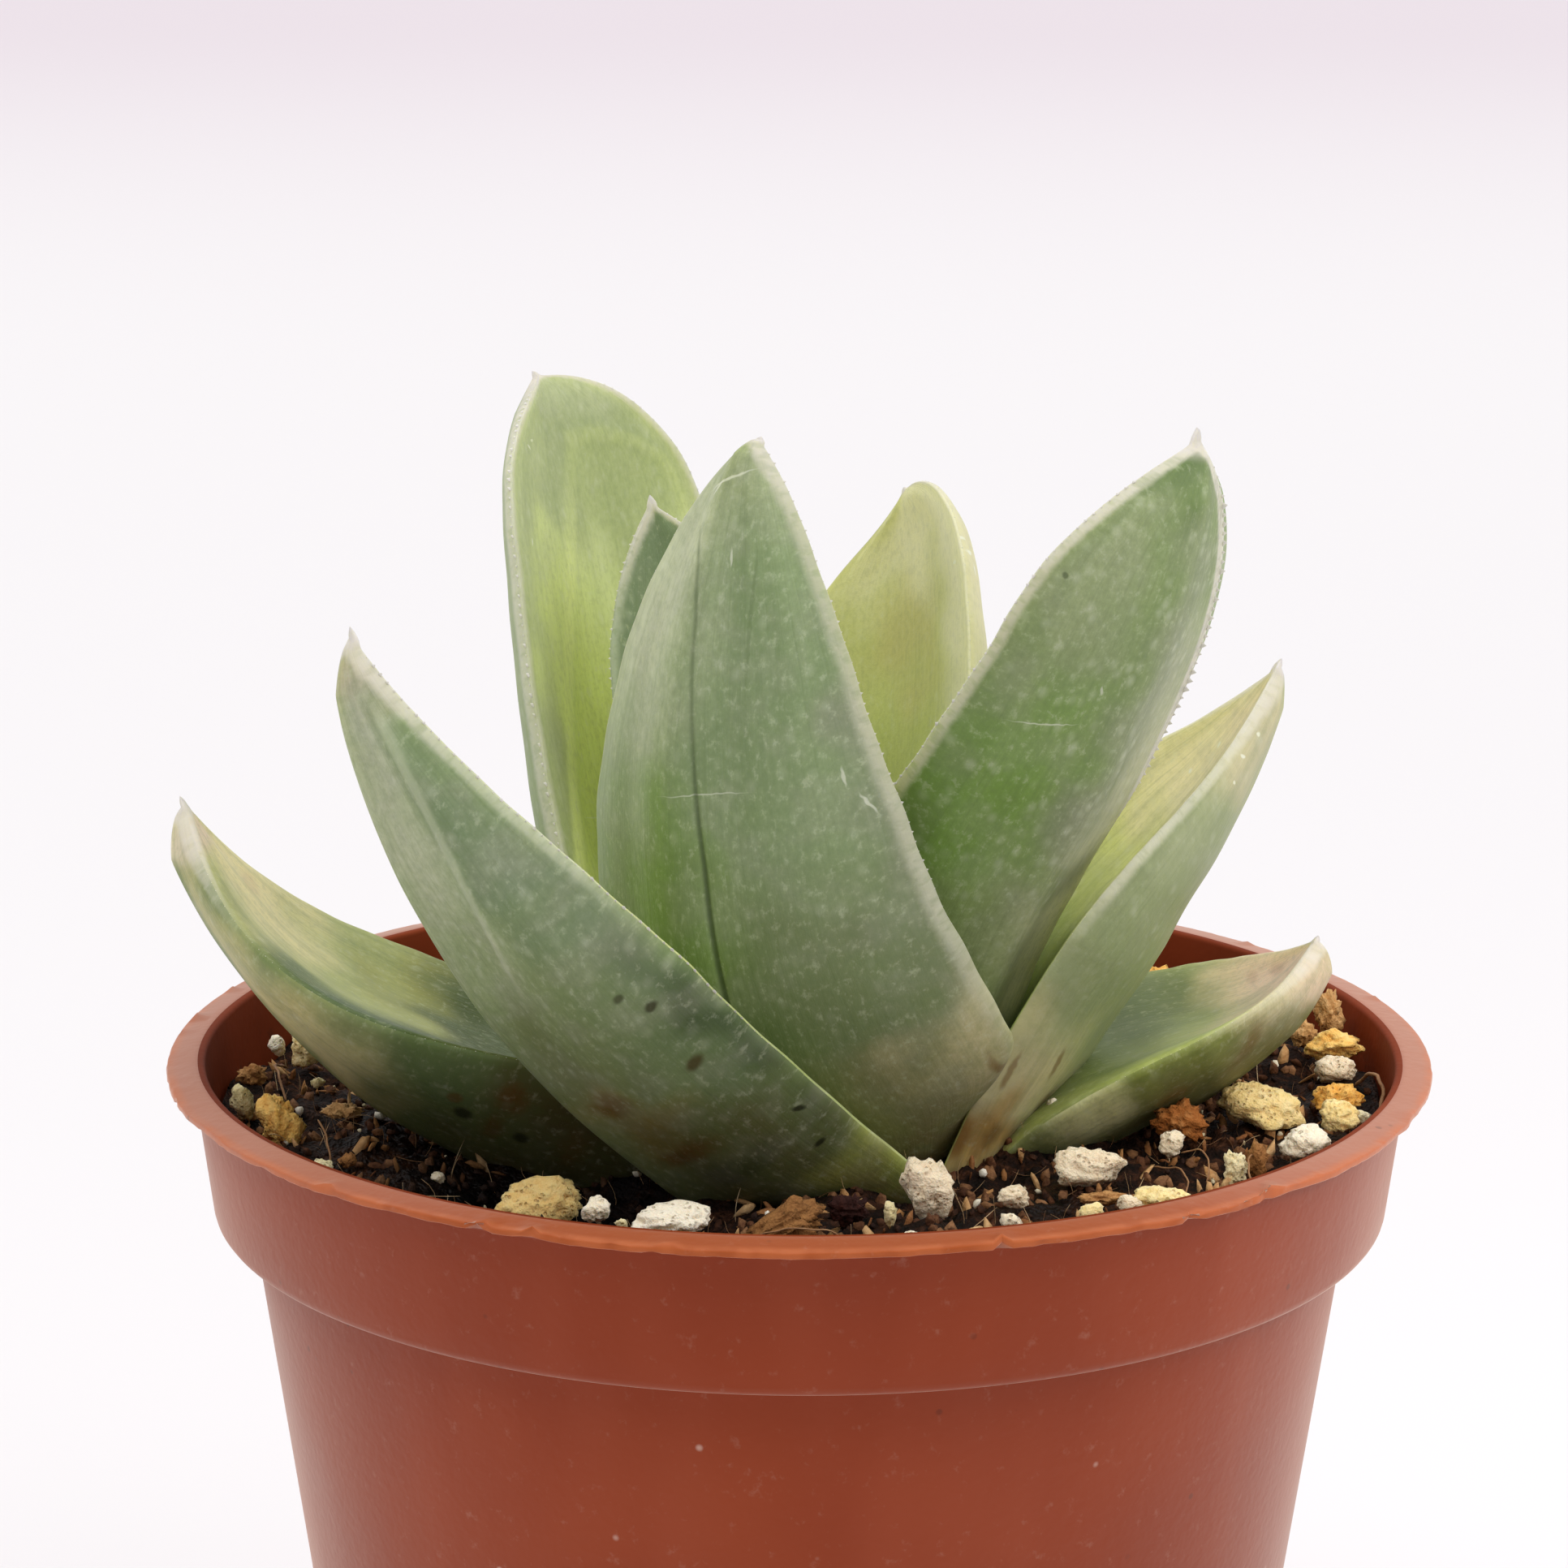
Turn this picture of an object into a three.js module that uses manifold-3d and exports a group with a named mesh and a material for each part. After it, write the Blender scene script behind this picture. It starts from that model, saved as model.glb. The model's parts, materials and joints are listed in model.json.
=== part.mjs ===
// A small succulent (a green ice gasteraloe) in a round plastic nursery pot.
// Millimetres, +Z up. The origin is the middle of the pot's underside, and the plant's front faces -Y.
// Every leaf is a solid of its own. Neighbouring pieces keep a gap of FIT to each other.

import * as THREE from 'three';
import { mergeVertices } from 'three/addons/utils/BufferGeometryUtils.js';
import Module from 'manifold-3d';

const wasm = await Module();
wasm.setup();

// Driving dimensions

const FIT = 0.3;                    // gap between pieces that touch

const POT_HEIGHT = 72;
const LIP_RADIUS = 42.5;            // outer edge of the flared lip
const LIP_THICK = 1.1;
const LIP_DROP = 0.3;               // the lip's outer edge hangs this much lower
const POT_WALL = 0.8;
const COLLAR_RADIUS = 40.8;         // outside of the straight collar, just under the lip
const COLLAR_FOOT_RADIUS = 39.6;
const COLLAR_HEIGHT = 10.5;
const WALL_TOP_RADIUS = 37.2;       // outside of the wall, just under the collar
const WALL_TAPER = 0.14;            // radius lost for each millimetre of height
const FLOOR_THICK = 1.2;
const DRAIN_HOLES = 8;
const DRAIN_RADIUS = 2.75;
const DRAIN_CIRCLE = 18;
const POT_SEGMENTS = 48;
const POT_BEVEL = 1.2;              // around the underside
const COLLAR_BEVEL = 0.7;           // around the collar's foot
const FLOOR_BEVEL = 1.5;            // inside, where the wall meets the floor
const SHOULDER_BEVEL = 0.6;         // inside, above the step to the collar
const SHOULDER_RISE = 0.8;
const MOUTH_BEVEL = 0.3;

const SOIL_BELOW_RIM = 4.5;
const SOIL_Z = POT_HEIGHT - SOIL_BELOW_RIM;
const SOIL_SEGMENTS = 36;
const SOIL_RINGS = [0.9, 0.75, 0.58, 0.4, 0.2];
// Places where the soil is heaped up or washed out
const SOIL_HEAPS = [
  { x: -16, y: -19, half: 9.5, height: -2.7 },
  { x: 35, y: 3, half: 10, height: 1.5 },
];

const STEM_X = 6.5;                 // the plant stands right of the middle and in front of it
const STEM_Y = -7;
const STEM_RADIUS = 3.4;
const STEM_TOP = 2.5;               // above the soil
const ROOT_DEPTH = 22;              // below the soil
const ROOT_RADIUS = 1.6;
const STEM_ROUND = 2;               // the stem's rounded top
const STEM_SEGMENTS = 16;

const LEAF_EDGE = 0.35;             // half of a margin's thickness
const LEAF_BELLY = 0.12;            // how far the upper face swells, as a share of the thickness
const LEAF_ROWS = 19;
const SPINE_START = 0.985;          // where the blade ends and the small end spine begins
const SPINE_HALF = 0.34;
const FOOT_THICK = 0.55;            // share of the thickness at the foot
const FULL_THICK_AT = 0.22;         // how far up a leaf is at its full thickness
const TIP_THIN = 0.72;              // share of the thickness lost from there to the tip
const TIP_ROUND = 0.05;             // length of the rounded end, as a share of the leaf
const BELLY_FLAT = 2.2;             // how flat the lower face is across the middle
const BELLY_ROUND = 0.75;           // and how round towards the margins
const KEEL_HALF = 0.22;             // half width of the ridge below
const UPPER_STEPS = [-1, -0.55, 0, 0.55, 1];
const LOWER_STEPS = [1, 0.8, 0.45, 0.1, -0.25, -0.6, -0.88, -1];

// A leaf's values. Lengths are in millimetres and angles in degrees.
// azimuth: the way it leans, seen from above, counted from +X towards +Y
// reach, height: how far its tip is out from the stem and above the soil
// rise, tipRise: slope of its middle line at the foot and at the tip; yaw, tipYaw: its swing to the side there
// foot, footSide: where it leaves the stem, outwards and to the side; sink: the same below the soil
// arm, tipArm: how long the middle line keeps the slope of its foot and of its tip, as a share of its span
// width, thick: at the widest and thickest place; widest: where the leaf is widest; base: the foot's share of it
// point: how blunt the tip is; skew: how far the blade bulges to one side towards the tip
// cup, tipCup: how much the margins stand up; roll, twist: turn about its middle line
// keel: where the ridge of the lower face lies, from -1 to 1 across; keelShare: how sharp it is
const LEAF_COMMON = {
  foot: 3, footSide: 0, sink: 2.5, yaw: 0, tipYaw: 0, arm: 0.36, tipArm: 0.36, base: 0.85, widest: 0.4,
  point: 2.4, skew: 0, twist: 0, keel: 0, keelShare: 0.2,
};

// The order is from the oldest, outermost leaf to the youngest: an older leaf's foot clasps the younger ones.
const LEAVES = {
  leaf_front_left: {
    azimuth: -152, reach: 38.5, height: 38, rise: 39, tipRise: 80, tipYaw: 2, width: 20.2, thick: 6.5,
    cup: 0.06, tipCup: 0.25, roll: 15, twist: 4, foot: 4.5, footSide: 4, widest: 0.45, point: 1.6,
    skew: 0.18, keel: -0.3, colour: 0x7f9474,
  },
  leaf_right_low: {
    azimuth: 7, reach: 28.2, height: 13, rise: 45, tipRise: 73, tipYaw: -5, width: 20, thick: 5.5,
    cup: 0.17, tipCup: 0.33, roll: 7.5, twist: -20, foot: 5, footSide: 2.5, sink: 1, arm: 0.41,
    widest: 0.37, point: 3, colour: 0x93a56c,
  },
  leaf_left_low: {
    azimuth: 180, reach: 47.1, height: 23.1, rise: 21, tipRise: 68, tipYaw: -2, width: 21.5, thick: 7,
    cup: 0.53, tipCup: 0, roll: 8, twist: -10, foot: 5, arm: 0.43, tipArm: 0.38, widest: 0.48,
    keel: 0.1, colour: 0x8fa06a,
  },
  leaf_right: {
    azimuth: 11.5, reach: 25.7, height: 31.5, rise: 67, tipRise: 70, tipYaw: -3, width: 22.2, thick: 4,
    cup: 0.4, tipCup: 0.6, roll: -5, twist: 4, foot: 4.5, arm: 0.55, tipArm: 0.41, point: 1.75,
    skew: -0.06, colour: 0x9aaa80,
  },
  leaf_rear_left: {
    azimuth: 118, reach: 27, height: 21, rise: 30, tipRise: 62, width: 19, thick: 6, cup: 0.25,
    tipCup: 0.2, roll: 0, foot: 4.5, colour: 0x8a9c6b,
  },
  leaf_rear_right: {
    azimuth: 66, reach: 24, height: 14, rise: 24, tipRise: 58, width: 17, thick: 6, cup: 0.25,
    tipCup: 0.2, roll: 0, foot: 4.5, colour: 0x8a9c6b,
  },
  leaf_front: {
    azimuth: -135.5, reach: 12.8, height: 48.3, rise: 39, tipRise: 113, width: 26.8, thick: 6.5,
    cup: 0.24, tipCup: 0.13, roll: 21, twist: -2, foot: 1, footSide: 1, sink: 2, base: 0.47,
    widest: 0.15, point: 1.6, skew: -0.05, arm: 0.51, tipArm: 0.12, keel: -0.25, colour: 0x8a9d7b,
  },
  leaf_front_right: {
    azimuth: -30.5, reach: 20.6, height: 49.2, rise: 102, tipRise: 86, tipYaw: 2, width: 19.2, thick: 6,
    cup: 0.19, tipCup: 0.26, roll: -33.5, twist: 22, foot: 1.5, sink: 1, widest: 0.56, point: 5.6,
    skew: -0.11, tipArm: 0.42, colour: 0x7b9166,
  },
  leaf_back_left: {
    azimuth: 141.3, reach: 32, height: 48.3, rise: 12.5, tipRise: 53, yaw: 23, tipYaw: 32.5,
    width: 24.1, thick: 6, cup: 0.2, tipCup: 0.26, roll: 4.5, twist: 4, foot: 3.5, sink: 1.5,
    widest: 0.55, point: 4.2, skew: 0.04, tipArm: 0.19, colour: 0xa0b067,
  },
  leaf_back: {
    azimuth: 88.5, reach: 24.6, height: 39.6, rise: 57, tipRise: 37, tipYaw: 38.5, width: 21.5,
    thick: 5.5, cup: 0.25, tipCup: 0.25, roll: -51.5, twist: -10, sink: 1.5, widest: 0.59, point: 2.9,
    skew: 0.14, arm: 0.38, tipArm: 0.15, colour: 0xa5ab68,
  },
  leaf_young: {
    azimuth: 150, reach: 19.2, height: 41.5, rise: 66, tipRise: 80, width: 16, thick: 4, cup: 0.2,
    tipCup: 0.2, roll: -34, twist: -1.5, foot: 1, sink: 0, widest: 0.51, skew: -0.06, tipArm: 0.28,
    colour: 0x5f7f58,
  },
};

// The larger grains on the soil: x, y, longest radius, and how tall and how deep each is beside that
const GRAINS = [
  { x: 8, y: -21.5, radius: 2.5, tall: 0.9, deep: 0.7 },
  { x: 18.7, y: -16.5, radius: 2.4, tall: 0.6, deep: 0.7 },
  { x: 31.2, y: -3.5, radius: 2.9, tall: 0.6, deep: 0.8 },
  { x: 33, y: -10.5, radius: 2.1, tall: 0.6, deep: 0.7 },
  { x: 35.5, y: -5, radius: 2.1, tall: 0.6, deep: 0.7 },
  { x: 36, y: 3.5, radius: 2, tall: 0.7, deep: 0.8 },
  { x: 35.5, y: 9.5, radius: 2.3, tall: 0.7, deep: 0.8 },
  { x: 25.7, y: -7.5, radius: 2.1, tall: 0.6, deep: 0.6 },
  { x: -16.9, y: -24, radius: 3, tall: 0.6, deep: 0.7 },
  { x: -8, y: -28, radius: 2.9, tall: 0.5, deep: 0.7 },
  { x: -0.8, y: -27, radius: 3, tall: 0.6, deep: 0.6 },
  { x: -33.8, y: 8, radius: 2.3, tall: 0.7, deep: 0.8 },
  { x: -34, y: -8.5, radius: 2.4, tall: 0.7, deep: 0.8 },
  { x: -36, y: -2.5, radius: 1.8, tall: 0.7, deep: 0.8 },
  { x: -20, y: 27, radius: 2.6, tall: 0.6, deep: 0.8 },
  { x: 14, y: 32, radius: 2.6, tall: 0.6, deep: 0.8 },
];
const SMALL_GRAINS = 30;
const SMALL_GRAIN_RADIUS = 1.3;
const GRAIN_RING_INNER = 21;
const GRAIN_RING_OUTER = 36;
const GRAIN_SEED = 11;
const GRAIN_SUNK = 0.35;            // how far a grain's middle is above the soil, as a share of its height

// Small tools

const radians = (degrees) => (degrees * Math.PI) / 180;
const clamp01 = (x) => Math.min(1, Math.max(0, x));
const ease = (x) => x * x * (3 - 2 * x);
const mix = (a, b, t) => a + (b - a) * t;

function randomFrom(seed) {
  let state = seed;
  return () => {
    state = (state * 16807) % 2147483647;
    return state / 2147483647;
  };
}

// Turns a closed geometry into a manifold solid.
function toSolid(geometry) {
  const bare = geometry.clone();
  bare.deleteAttribute('normal');
  bare.deleteAttribute('uv');
  const merged = mergeVertices(bare, 1e-4);
  const mesh = new wasm.Mesh({
    numProp: 3,
    vertProperties: new Float32Array(merged.attributes.position.array),
    triVerts: new Uint32Array(merged.index.array),
  });
  return new wasm.Manifold(mesh);
}

function toGeometry(solid) {
  const mesh = solid.getMesh();
  const geometry = new THREE.BufferGeometry();
  geometry.setAttribute('position', new THREE.BufferAttribute(new Float32Array(mesh.vertProperties), 3));
  geometry.setIndex(new THREE.BufferAttribute(new Uint32Array(mesh.triVerts), 1));
  geometry.computeVertexNormals();
  return geometry;
}

// Keeps the largest body of a cut solid and drops the scraps.
function largestBody(solid) {
  const bodies = solid.decompose();
  return bodies.reduce((a, b) => (a.volume() > b.volume() ? a : b));
}

// Closes a stack of rings, each with the same number of points, between two end points.
function closedRings(start, rings, end) {
  const size = rings[0].length;
  const points = [start, ...rings.flat(), end];
  const last = points.length - 1;
  const index = [];
  for (let i = 0; i < size; i += 1) {
    const j = (i + 1) % size;
    index.push(0, 1 + j, 1 + i);
    const base = 1 + (rings.length - 1) * size;
    index.push(last, base + i, base + j);
  }
  for (let row = 0; row < rings.length - 1; row += 1) {
    for (let i = 0; i < size; i += 1) {
      const j = (i + 1) % size;
      const a = 1 + row * size;
      const b = a + size;
      index.push(a + i, a + j, b + j, a + i, b + j, b + i);
    }
  }
  const geometry = new THREE.BufferGeometry();
  const flat = new Float32Array(points.flatMap((p) => [p.x, p.y, p.z]));
  geometry.setAttribute('position', new THREE.BufferAttribute(flat, 3));
  geometry.setIndex(index);
  return geometry;
}

// The pot

const collarFootZ = POT_HEIGHT - COLLAR_HEIGHT;
const wallRadius = (z) => WALL_TOP_RADIUS - WALL_TAPER * (collarFootZ - z);
const collarRadius = (z) => mix(COLLAR_FOOT_RADIUS, COLLAR_RADIUS, (z - collarFootZ) / COLLAR_HEIGHT);

// The inside of the pot from the floor up, drawn in by an extra gap where the soil's own side is wanted.
function insideProfile(gap) {
  const shoulderZ = collarFootZ + POT_WALL + gap;
  const inWall = POT_WALL + gap;
  const floorZ = FLOOR_THICK + gap;
  return [
    [0, floorZ],
    [wallRadius(floorZ) - inWall - FLOOR_BEVEL, floorZ],
    [wallRadius(floorZ) - inWall, floorZ + FLOOR_BEVEL],
    [wallRadius(shoulderZ - SHOULDER_RISE) - inWall, shoulderZ - SHOULDER_RISE],
    [collarRadius(shoulderZ) - inWall - SHOULDER_BEVEL, shoulderZ],
    [collarRadius(shoulderZ) - inWall, shoulderZ + SHOULDER_BEVEL],
  ];
}

function makePot() {
  const inside = insideProfile(0).reverse();
  const lipLow = POT_HEIGHT - LIP_THICK;
  const profile = [
    [0, 0],
    [wallRadius(0) - POT_BEVEL, 0],
    [wallRadius(0), POT_BEVEL],
    [wallRadius(collarFootZ), collarFootZ],
    [COLLAR_FOOT_RADIUS - COLLAR_BEVEL, collarFootZ],
    [COLLAR_FOOT_RADIUS, collarFootZ + COLLAR_BEVEL],
    [COLLAR_RADIUS, lipLow],
    [LIP_RADIUS, lipLow - LIP_DROP],
    [LIP_RADIUS, POT_HEIGHT - LIP_DROP],
    [COLLAR_RADIUS, POT_HEIGHT],
    [COLLAR_RADIUS - POT_WALL + MOUTH_BEVEL, POT_HEIGHT],
    [collarRadius(POT_HEIGHT - MOUTH_BEVEL) - POT_WALL, POT_HEIGHT - MOUTH_BEVEL],
    ...inside,
  ];
  const lathe = new THREE.LatheGeometry(profile.map(([r, z]) => new THREE.Vector2(r, z)), POT_SEGMENTS);
  lathe.rotateX(Math.PI / 2);
  let pot = toSolid(lathe);
  for (let i = 0; i < DRAIN_HOLES; i += 1) {
    const angle = (2 * Math.PI * i) / DRAIN_HOLES;
    const drill = new THREE.CylinderGeometry(DRAIN_RADIUS, DRAIN_RADIUS, FLOOR_THICK * 6, 12);
    drill.rotateX(Math.PI / 2);
    drill.translate(DRAIN_CIRCLE * Math.cos(angle), DRAIN_CIRCLE * Math.sin(angle), 0);
    pot = pot.subtract(toSolid(drill));
  }
  return pot;
}

// A leaf

// The middle line and the directions across and up from it, at s from the foot (0) to the tip (1)
function leafFrame(leaf, s) {
  const azimuth = radians(leaf.azimuth);
  const out = new THREE.Vector3(Math.cos(azimuth), Math.sin(azimuth), 0);
  const side = new THREE.Vector3(-Math.sin(azimuth), Math.cos(azimuth), 0);
  const up = new THREE.Vector3(0, 0, 1);
  const place = (o, q, h) => new THREE.Vector3(STEM_X, STEM_Y, SOIL_Z)
    .addScaledVector(out, o).addScaledVector(side, q).addScaledVector(up, h);
  const aim = (rise, yaw) => new THREE.Vector3()
    .addScaledVector(out, Math.cos(rise) * Math.cos(yaw))
    .addScaledVector(side, Math.cos(rise) * Math.sin(yaw))
    .addScaledVector(up, Math.sin(rise));
  const foot = place(leaf.foot, leaf.footSide, -leaf.sink);
  const tip = place(leaf.reach, 0, leaf.height);
  const span = foot.distanceTo(tip);
  const near = foot.clone().addScaledVector(aim(radians(leaf.rise), radians(leaf.yaw)), span * leaf.arm);
  const tipAim = aim(radians(leaf.tipRise), radians(leaf.tipYaw));
  const far = tip.clone().addScaledVector(tipAim, -span * leaf.tipArm);
  const line = new THREE.CubicBezierCurve3(foot, near, far, tip);
  const centre = line.getPoint(s);
  const along = line.getTangent(s);
  const flat = side.clone().addScaledVector(along, -side.dot(along)).normalize();
  const turn = radians(leaf.roll + leaf.twist * s);
  const across = flat.clone().applyAxisAngle(along, turn);
  const normal = along.clone().cross(across);
  return { centre, along, across, normal };
}

function leafHalfWidth(leaf, s) {
  const grow = mix(leaf.base, 1, ease(clamp01(s / leaf.widest)));
  const narrow = 1 - clamp01((s - leaf.widest) / (SPINE_START - leaf.widest)) ** leaf.point;
  const blade = (leaf.width / 2) * (s < leaf.widest ? grow : narrow);
  const spine = SPINE_HALF * clamp01((1 - s) / (1 - SPINE_START));
  return Math.max(blade, spine);
}

function leafThickness(leaf, s) {
  const swell = mix(FOOT_THICK, 1, ease(clamp01(s / FULL_THICK_AT)));
  const thin = 1 - TIP_THIN * ease(clamp01((s - FULL_THICK_AT) / (1 - FULL_THICK_AT)));
  const tip = Math.sqrt(clamp01((SPINE_START - s) / TIP_ROUND));
  return leaf.thick * swell * thin * tip;
}

// One ring of a leaf's surface: the upper face from margin to margin, then the lower face back
function leafRing(leaf, s, swell) {
  const { centre, across, normal } = leafFrame(leaf, s);
  const half = leafHalfWidth(leaf, s);
  const thick = leafThickness(leaf, s);
  const edge = Math.min(LEAF_EDGE, half) + swell;
  const cup = mix(leaf.cup, leaf.tipCup, s) * half;
  const shift = leaf.skew * s * half;
  const point = (v, lift) => centre.clone()
    .addScaledVector(across, shift + v * (half + swell)).addScaledVector(normal, cup * v * v + lift);
  const upper = UPPER_STEPS.map((v) => point(v, edge + LEAF_BELLY * thick * (1 - v * v)));
  const lower = LOWER_STEPS.map((v) => {
    const body = (1 - Math.abs(v) ** BELLY_FLAT) ** BELLY_ROUND;
    const ridge = Math.exp(-(((v - leaf.keel) / KEEL_HALF) ** 2)) * (1 - v * v);
    return point(v, -edge - thick * mix(body, ridge, leaf.keelShare));
  });
  return [...upper, ...lower].reverse();
}

function makeLeaf(leaf, swell = 0) {
  const rings = [];
  for (let i = 0; i < LEAF_ROWS; i += 1) {
    const s = 1 - (1 - i / LEAF_ROWS) ** 1.3;
    rings.push(leafRing(leaf, s, swell));
  }
  rings.push(leafRing(leaf, SPINE_START, swell));
  const foot = leafFrame(leaf, 0);
  const tip = leafFrame(leaf, 1);
  rings[0].forEach((p) => p.addScaledVector(foot.along, -swell));
  const start = foot.centre.clone().addScaledVector(foot.along, -2 * swell)
    .addScaledVector(foot.normal, -0.3 * leafThickness(leaf, 0));
  const end = tip.centre.clone().addScaledVector(tip.along, swell);
  return toSolid(closedRings(start, rings, end));
}

// The stem and its root stock
function makeStem(swell = 0) {
  const profile = [
    [0, SOIL_Z - ROOT_DEPTH - swell],
    [ROOT_RADIUS * 0.6 + swell, SOIL_Z - ROOT_DEPTH - swell],
    [ROOT_RADIUS + swell, SOIL_Z - ROOT_DEPTH + 6],
    [STEM_RADIUS + swell, SOIL_Z - 8],
    [STEM_RADIUS + swell, SOIL_Z + STEM_TOP - STEM_ROUND],
    [STEM_RADIUS * 0.6 + swell, SOIL_Z + STEM_TOP + swell],
    [0, SOIL_Z + STEM_TOP + swell],
  ];
  const lathe = new THREE.LatheGeometry(profile.map(([r, z]) => new THREE.Vector2(r, z)), STEM_SEGMENTS);
  lathe.rotateX(Math.PI / 2);
  lathe.translate(STEM_X, STEM_Y, 0);
  return toSolid(lathe);
}

// The soil

function soilHeight(x, y) {
  const ripple = 0.45 * Math.sin(0.31 * x + 0.9) * Math.cos(0.27 * y - 0.4)
    + 0.35 * Math.sin(0.55 * x - 0.6 * y) + 0.25 * Math.cos(0.8 * x + 0.5 * y + 1.3);
  const heaps = SOIL_HEAPS.map((heap) => {
    const away = Math.hypot(x - heap.x, y - heap.y) / heap.half;
    return heap.height * Math.exp(-(away ** 2));
  });
  return SOIL_Z + ripple + heaps.reduce((a, b) => a + b);
}

function makeSoilBody() {
  const sides = insideProfile(FIT).slice(1);
  const topRadius = collarRadius(SOIL_Z) - POT_WALL - FIT;
  const ringAt = (radius, z) => Array.from({ length: SOIL_SEGMENTS }, (_, i) => {
    const angle = (2 * Math.PI * i) / SOIL_SEGMENTS;
    const x = radius * Math.cos(angle);
    const y = radius * Math.sin(angle);
    return new THREE.Vector3(x, y, z === null ? soilHeight(x, y) : z);
  });
  const rings = sides.map(([radius, z]) => ringAt(radius, z));
  rings.push(ringAt(topRadius - 0.05, null));
  for (const share of SOIL_RINGS) {
    rings.push(ringAt(topRadius * share, null));
  }
  const start = new THREE.Vector3(0, 0, FLOOR_THICK + FIT);
  const end = new THREE.Vector3(0, 0, soilHeight(0, 0));
  return toSolid(closedRings(start, rings, end));
}

// A lump of pumice, perlite or bark: a small round solid with its corners pushed in and out
function makeGrain(x, y, radius, tall, deep, detail, random) {
  const ball = new THREE.IcosahedronGeometry(radius, detail);
  ball.deleteAttribute('normal');
  ball.deleteAttribute('uv');
  const lump = mergeVertices(ball, 1e-4);
  const corners = lump.attributes.position;
  for (let i = 0; i < corners.count; i += 1) {
    const push = 0.82 + 0.3 * random();
    corners.setXYZ(i, corners.getX(i) * push, corners.getY(i) * push * deep, corners.getZ(i) * push * tall);
  }
  lump.rotateZ(random() * Math.PI);
  lump.translate(x, y, soilHeight(x, y) + radius * tall * GRAIN_SUNK);
  return toSolid(lump);
}

function makeSoil(cutters) {
  const random = randomFrom(GRAIN_SEED);
  const parts = [makeSoilBody()];
  for (const grain of GRAINS) {
    parts.push(makeGrain(grain.x, grain.y, grain.radius, grain.tall, grain.deep, 1, random));
  }
  for (let i = 0; i < SMALL_GRAINS; i += 1) {
    const angle = 2 * Math.PI * (i / SMALL_GRAINS + 0.03 * random());
    const distance = mix(GRAIN_RING_INNER, GRAIN_RING_OUTER, random());
    const radius = SMALL_GRAIN_RADIUS * (0.7 + 0.5 * random());
    parts.push(makeGrain(distance * Math.cos(angle), distance * Math.sin(angle), radius, 0.8, 0.9, 0, random));
  }
  let soil = parts.reduce((a, b) => a.add(b));
  for (const cutter of cutters) {
    soil = soil.subtract(cutter);
  }
  return largestBody(soil);
}

// Everything, put together

const group = new THREE.Group();

function addPiece(name, solid, colour, roughness) {
  const material = new THREE.MeshStandardMaterial({ color: colour, roughness, metalness: 0 });
  const mesh = new THREE.Mesh(toGeometry(solid), material);
  mesh.name = name;
  group.add(mesh);
}

addPiece('pot', makePot(), 0x9c4a35, 0.5);
addPiece('stem', makeStem(), 0x8c8a5a, 0.7);

const cutters = [makeStem(FIT)];
for (const [name, own] of Object.entries(LEAVES)) {
  const leaf = { ...LEAF_COMMON, ...own };
  let solid = makeLeaf(leaf);
  for (const cutter of cutters) {
    solid = solid.subtract(cutter);
  }
  addPiece(name, largestBody(solid), leaf.colour, 0.45);
  cutters.push(makeLeaf(leaf, FIT));
}
addPiece('soil', makeSoil(cutters), 0x2e211b, 0.95);

export default group;
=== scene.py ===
# A small succulent (a green ice gasteraloe) in a round plastic nursery pot.
# Sizes are written in millimetres and turned to metres where a mesh is made. +Z is up, the front faces -Y.
import json
import math

import bmesh
import bpy
import numpy as np
from mathutils import Matrix, Vector, noise

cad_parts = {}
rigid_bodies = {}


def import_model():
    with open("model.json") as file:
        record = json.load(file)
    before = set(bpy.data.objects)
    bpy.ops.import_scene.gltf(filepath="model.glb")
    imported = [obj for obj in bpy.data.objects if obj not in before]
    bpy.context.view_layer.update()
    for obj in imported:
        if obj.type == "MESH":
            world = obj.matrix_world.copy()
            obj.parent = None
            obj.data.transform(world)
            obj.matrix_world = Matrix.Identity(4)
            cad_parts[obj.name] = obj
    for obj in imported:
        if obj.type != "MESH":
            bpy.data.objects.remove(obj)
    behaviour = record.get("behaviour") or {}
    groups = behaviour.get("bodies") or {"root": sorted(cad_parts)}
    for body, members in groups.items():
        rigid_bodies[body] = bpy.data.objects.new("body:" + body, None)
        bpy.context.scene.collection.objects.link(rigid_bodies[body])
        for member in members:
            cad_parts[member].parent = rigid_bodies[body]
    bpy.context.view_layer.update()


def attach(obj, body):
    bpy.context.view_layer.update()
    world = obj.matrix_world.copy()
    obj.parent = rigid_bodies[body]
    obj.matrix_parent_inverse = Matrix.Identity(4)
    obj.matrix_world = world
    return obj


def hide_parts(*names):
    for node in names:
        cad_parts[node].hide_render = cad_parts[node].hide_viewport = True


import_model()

MM = 0.001
noise.seed_set(5)           # else the vector noise differs from run to run

# Driving dimensions, the same as the solids have

POT_HEIGHT = 72
LIP_RADIUS = 42.5
LIP_THICK = 1.1
LIP_DROP = 0.3
LIP_EDGE = 0.4              # the lip thins out to this at its rim
POT_WALL = 0.8
COLLAR_RADIUS = 40.8
COLLAR_FOOT_RADIUS = 39.6
COLLAR_HEIGHT = 10.5
WALL_TOP_RADIUS = 37.2
WALL_TAPER = 0.14
FLOOR_THICK = 1.2
DRAIN_HOLES = 8
DRAIN_RADIUS = 2.75
DRAIN_CIRCLE = 18
FIT = 0.3

SOIL_Z = 67.5
SOIL_HEAPS = [(-16, -19, 9.5, -2.7), (35, 3, 10, 1.5)]

STEM_X = 6.5
STEM_Y = -7
STEM_RADIUS = 3.4
STEM_TOP = 2.5
ROOT_DEPTH = 22
ROOT_RADIUS = 1.6

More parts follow.
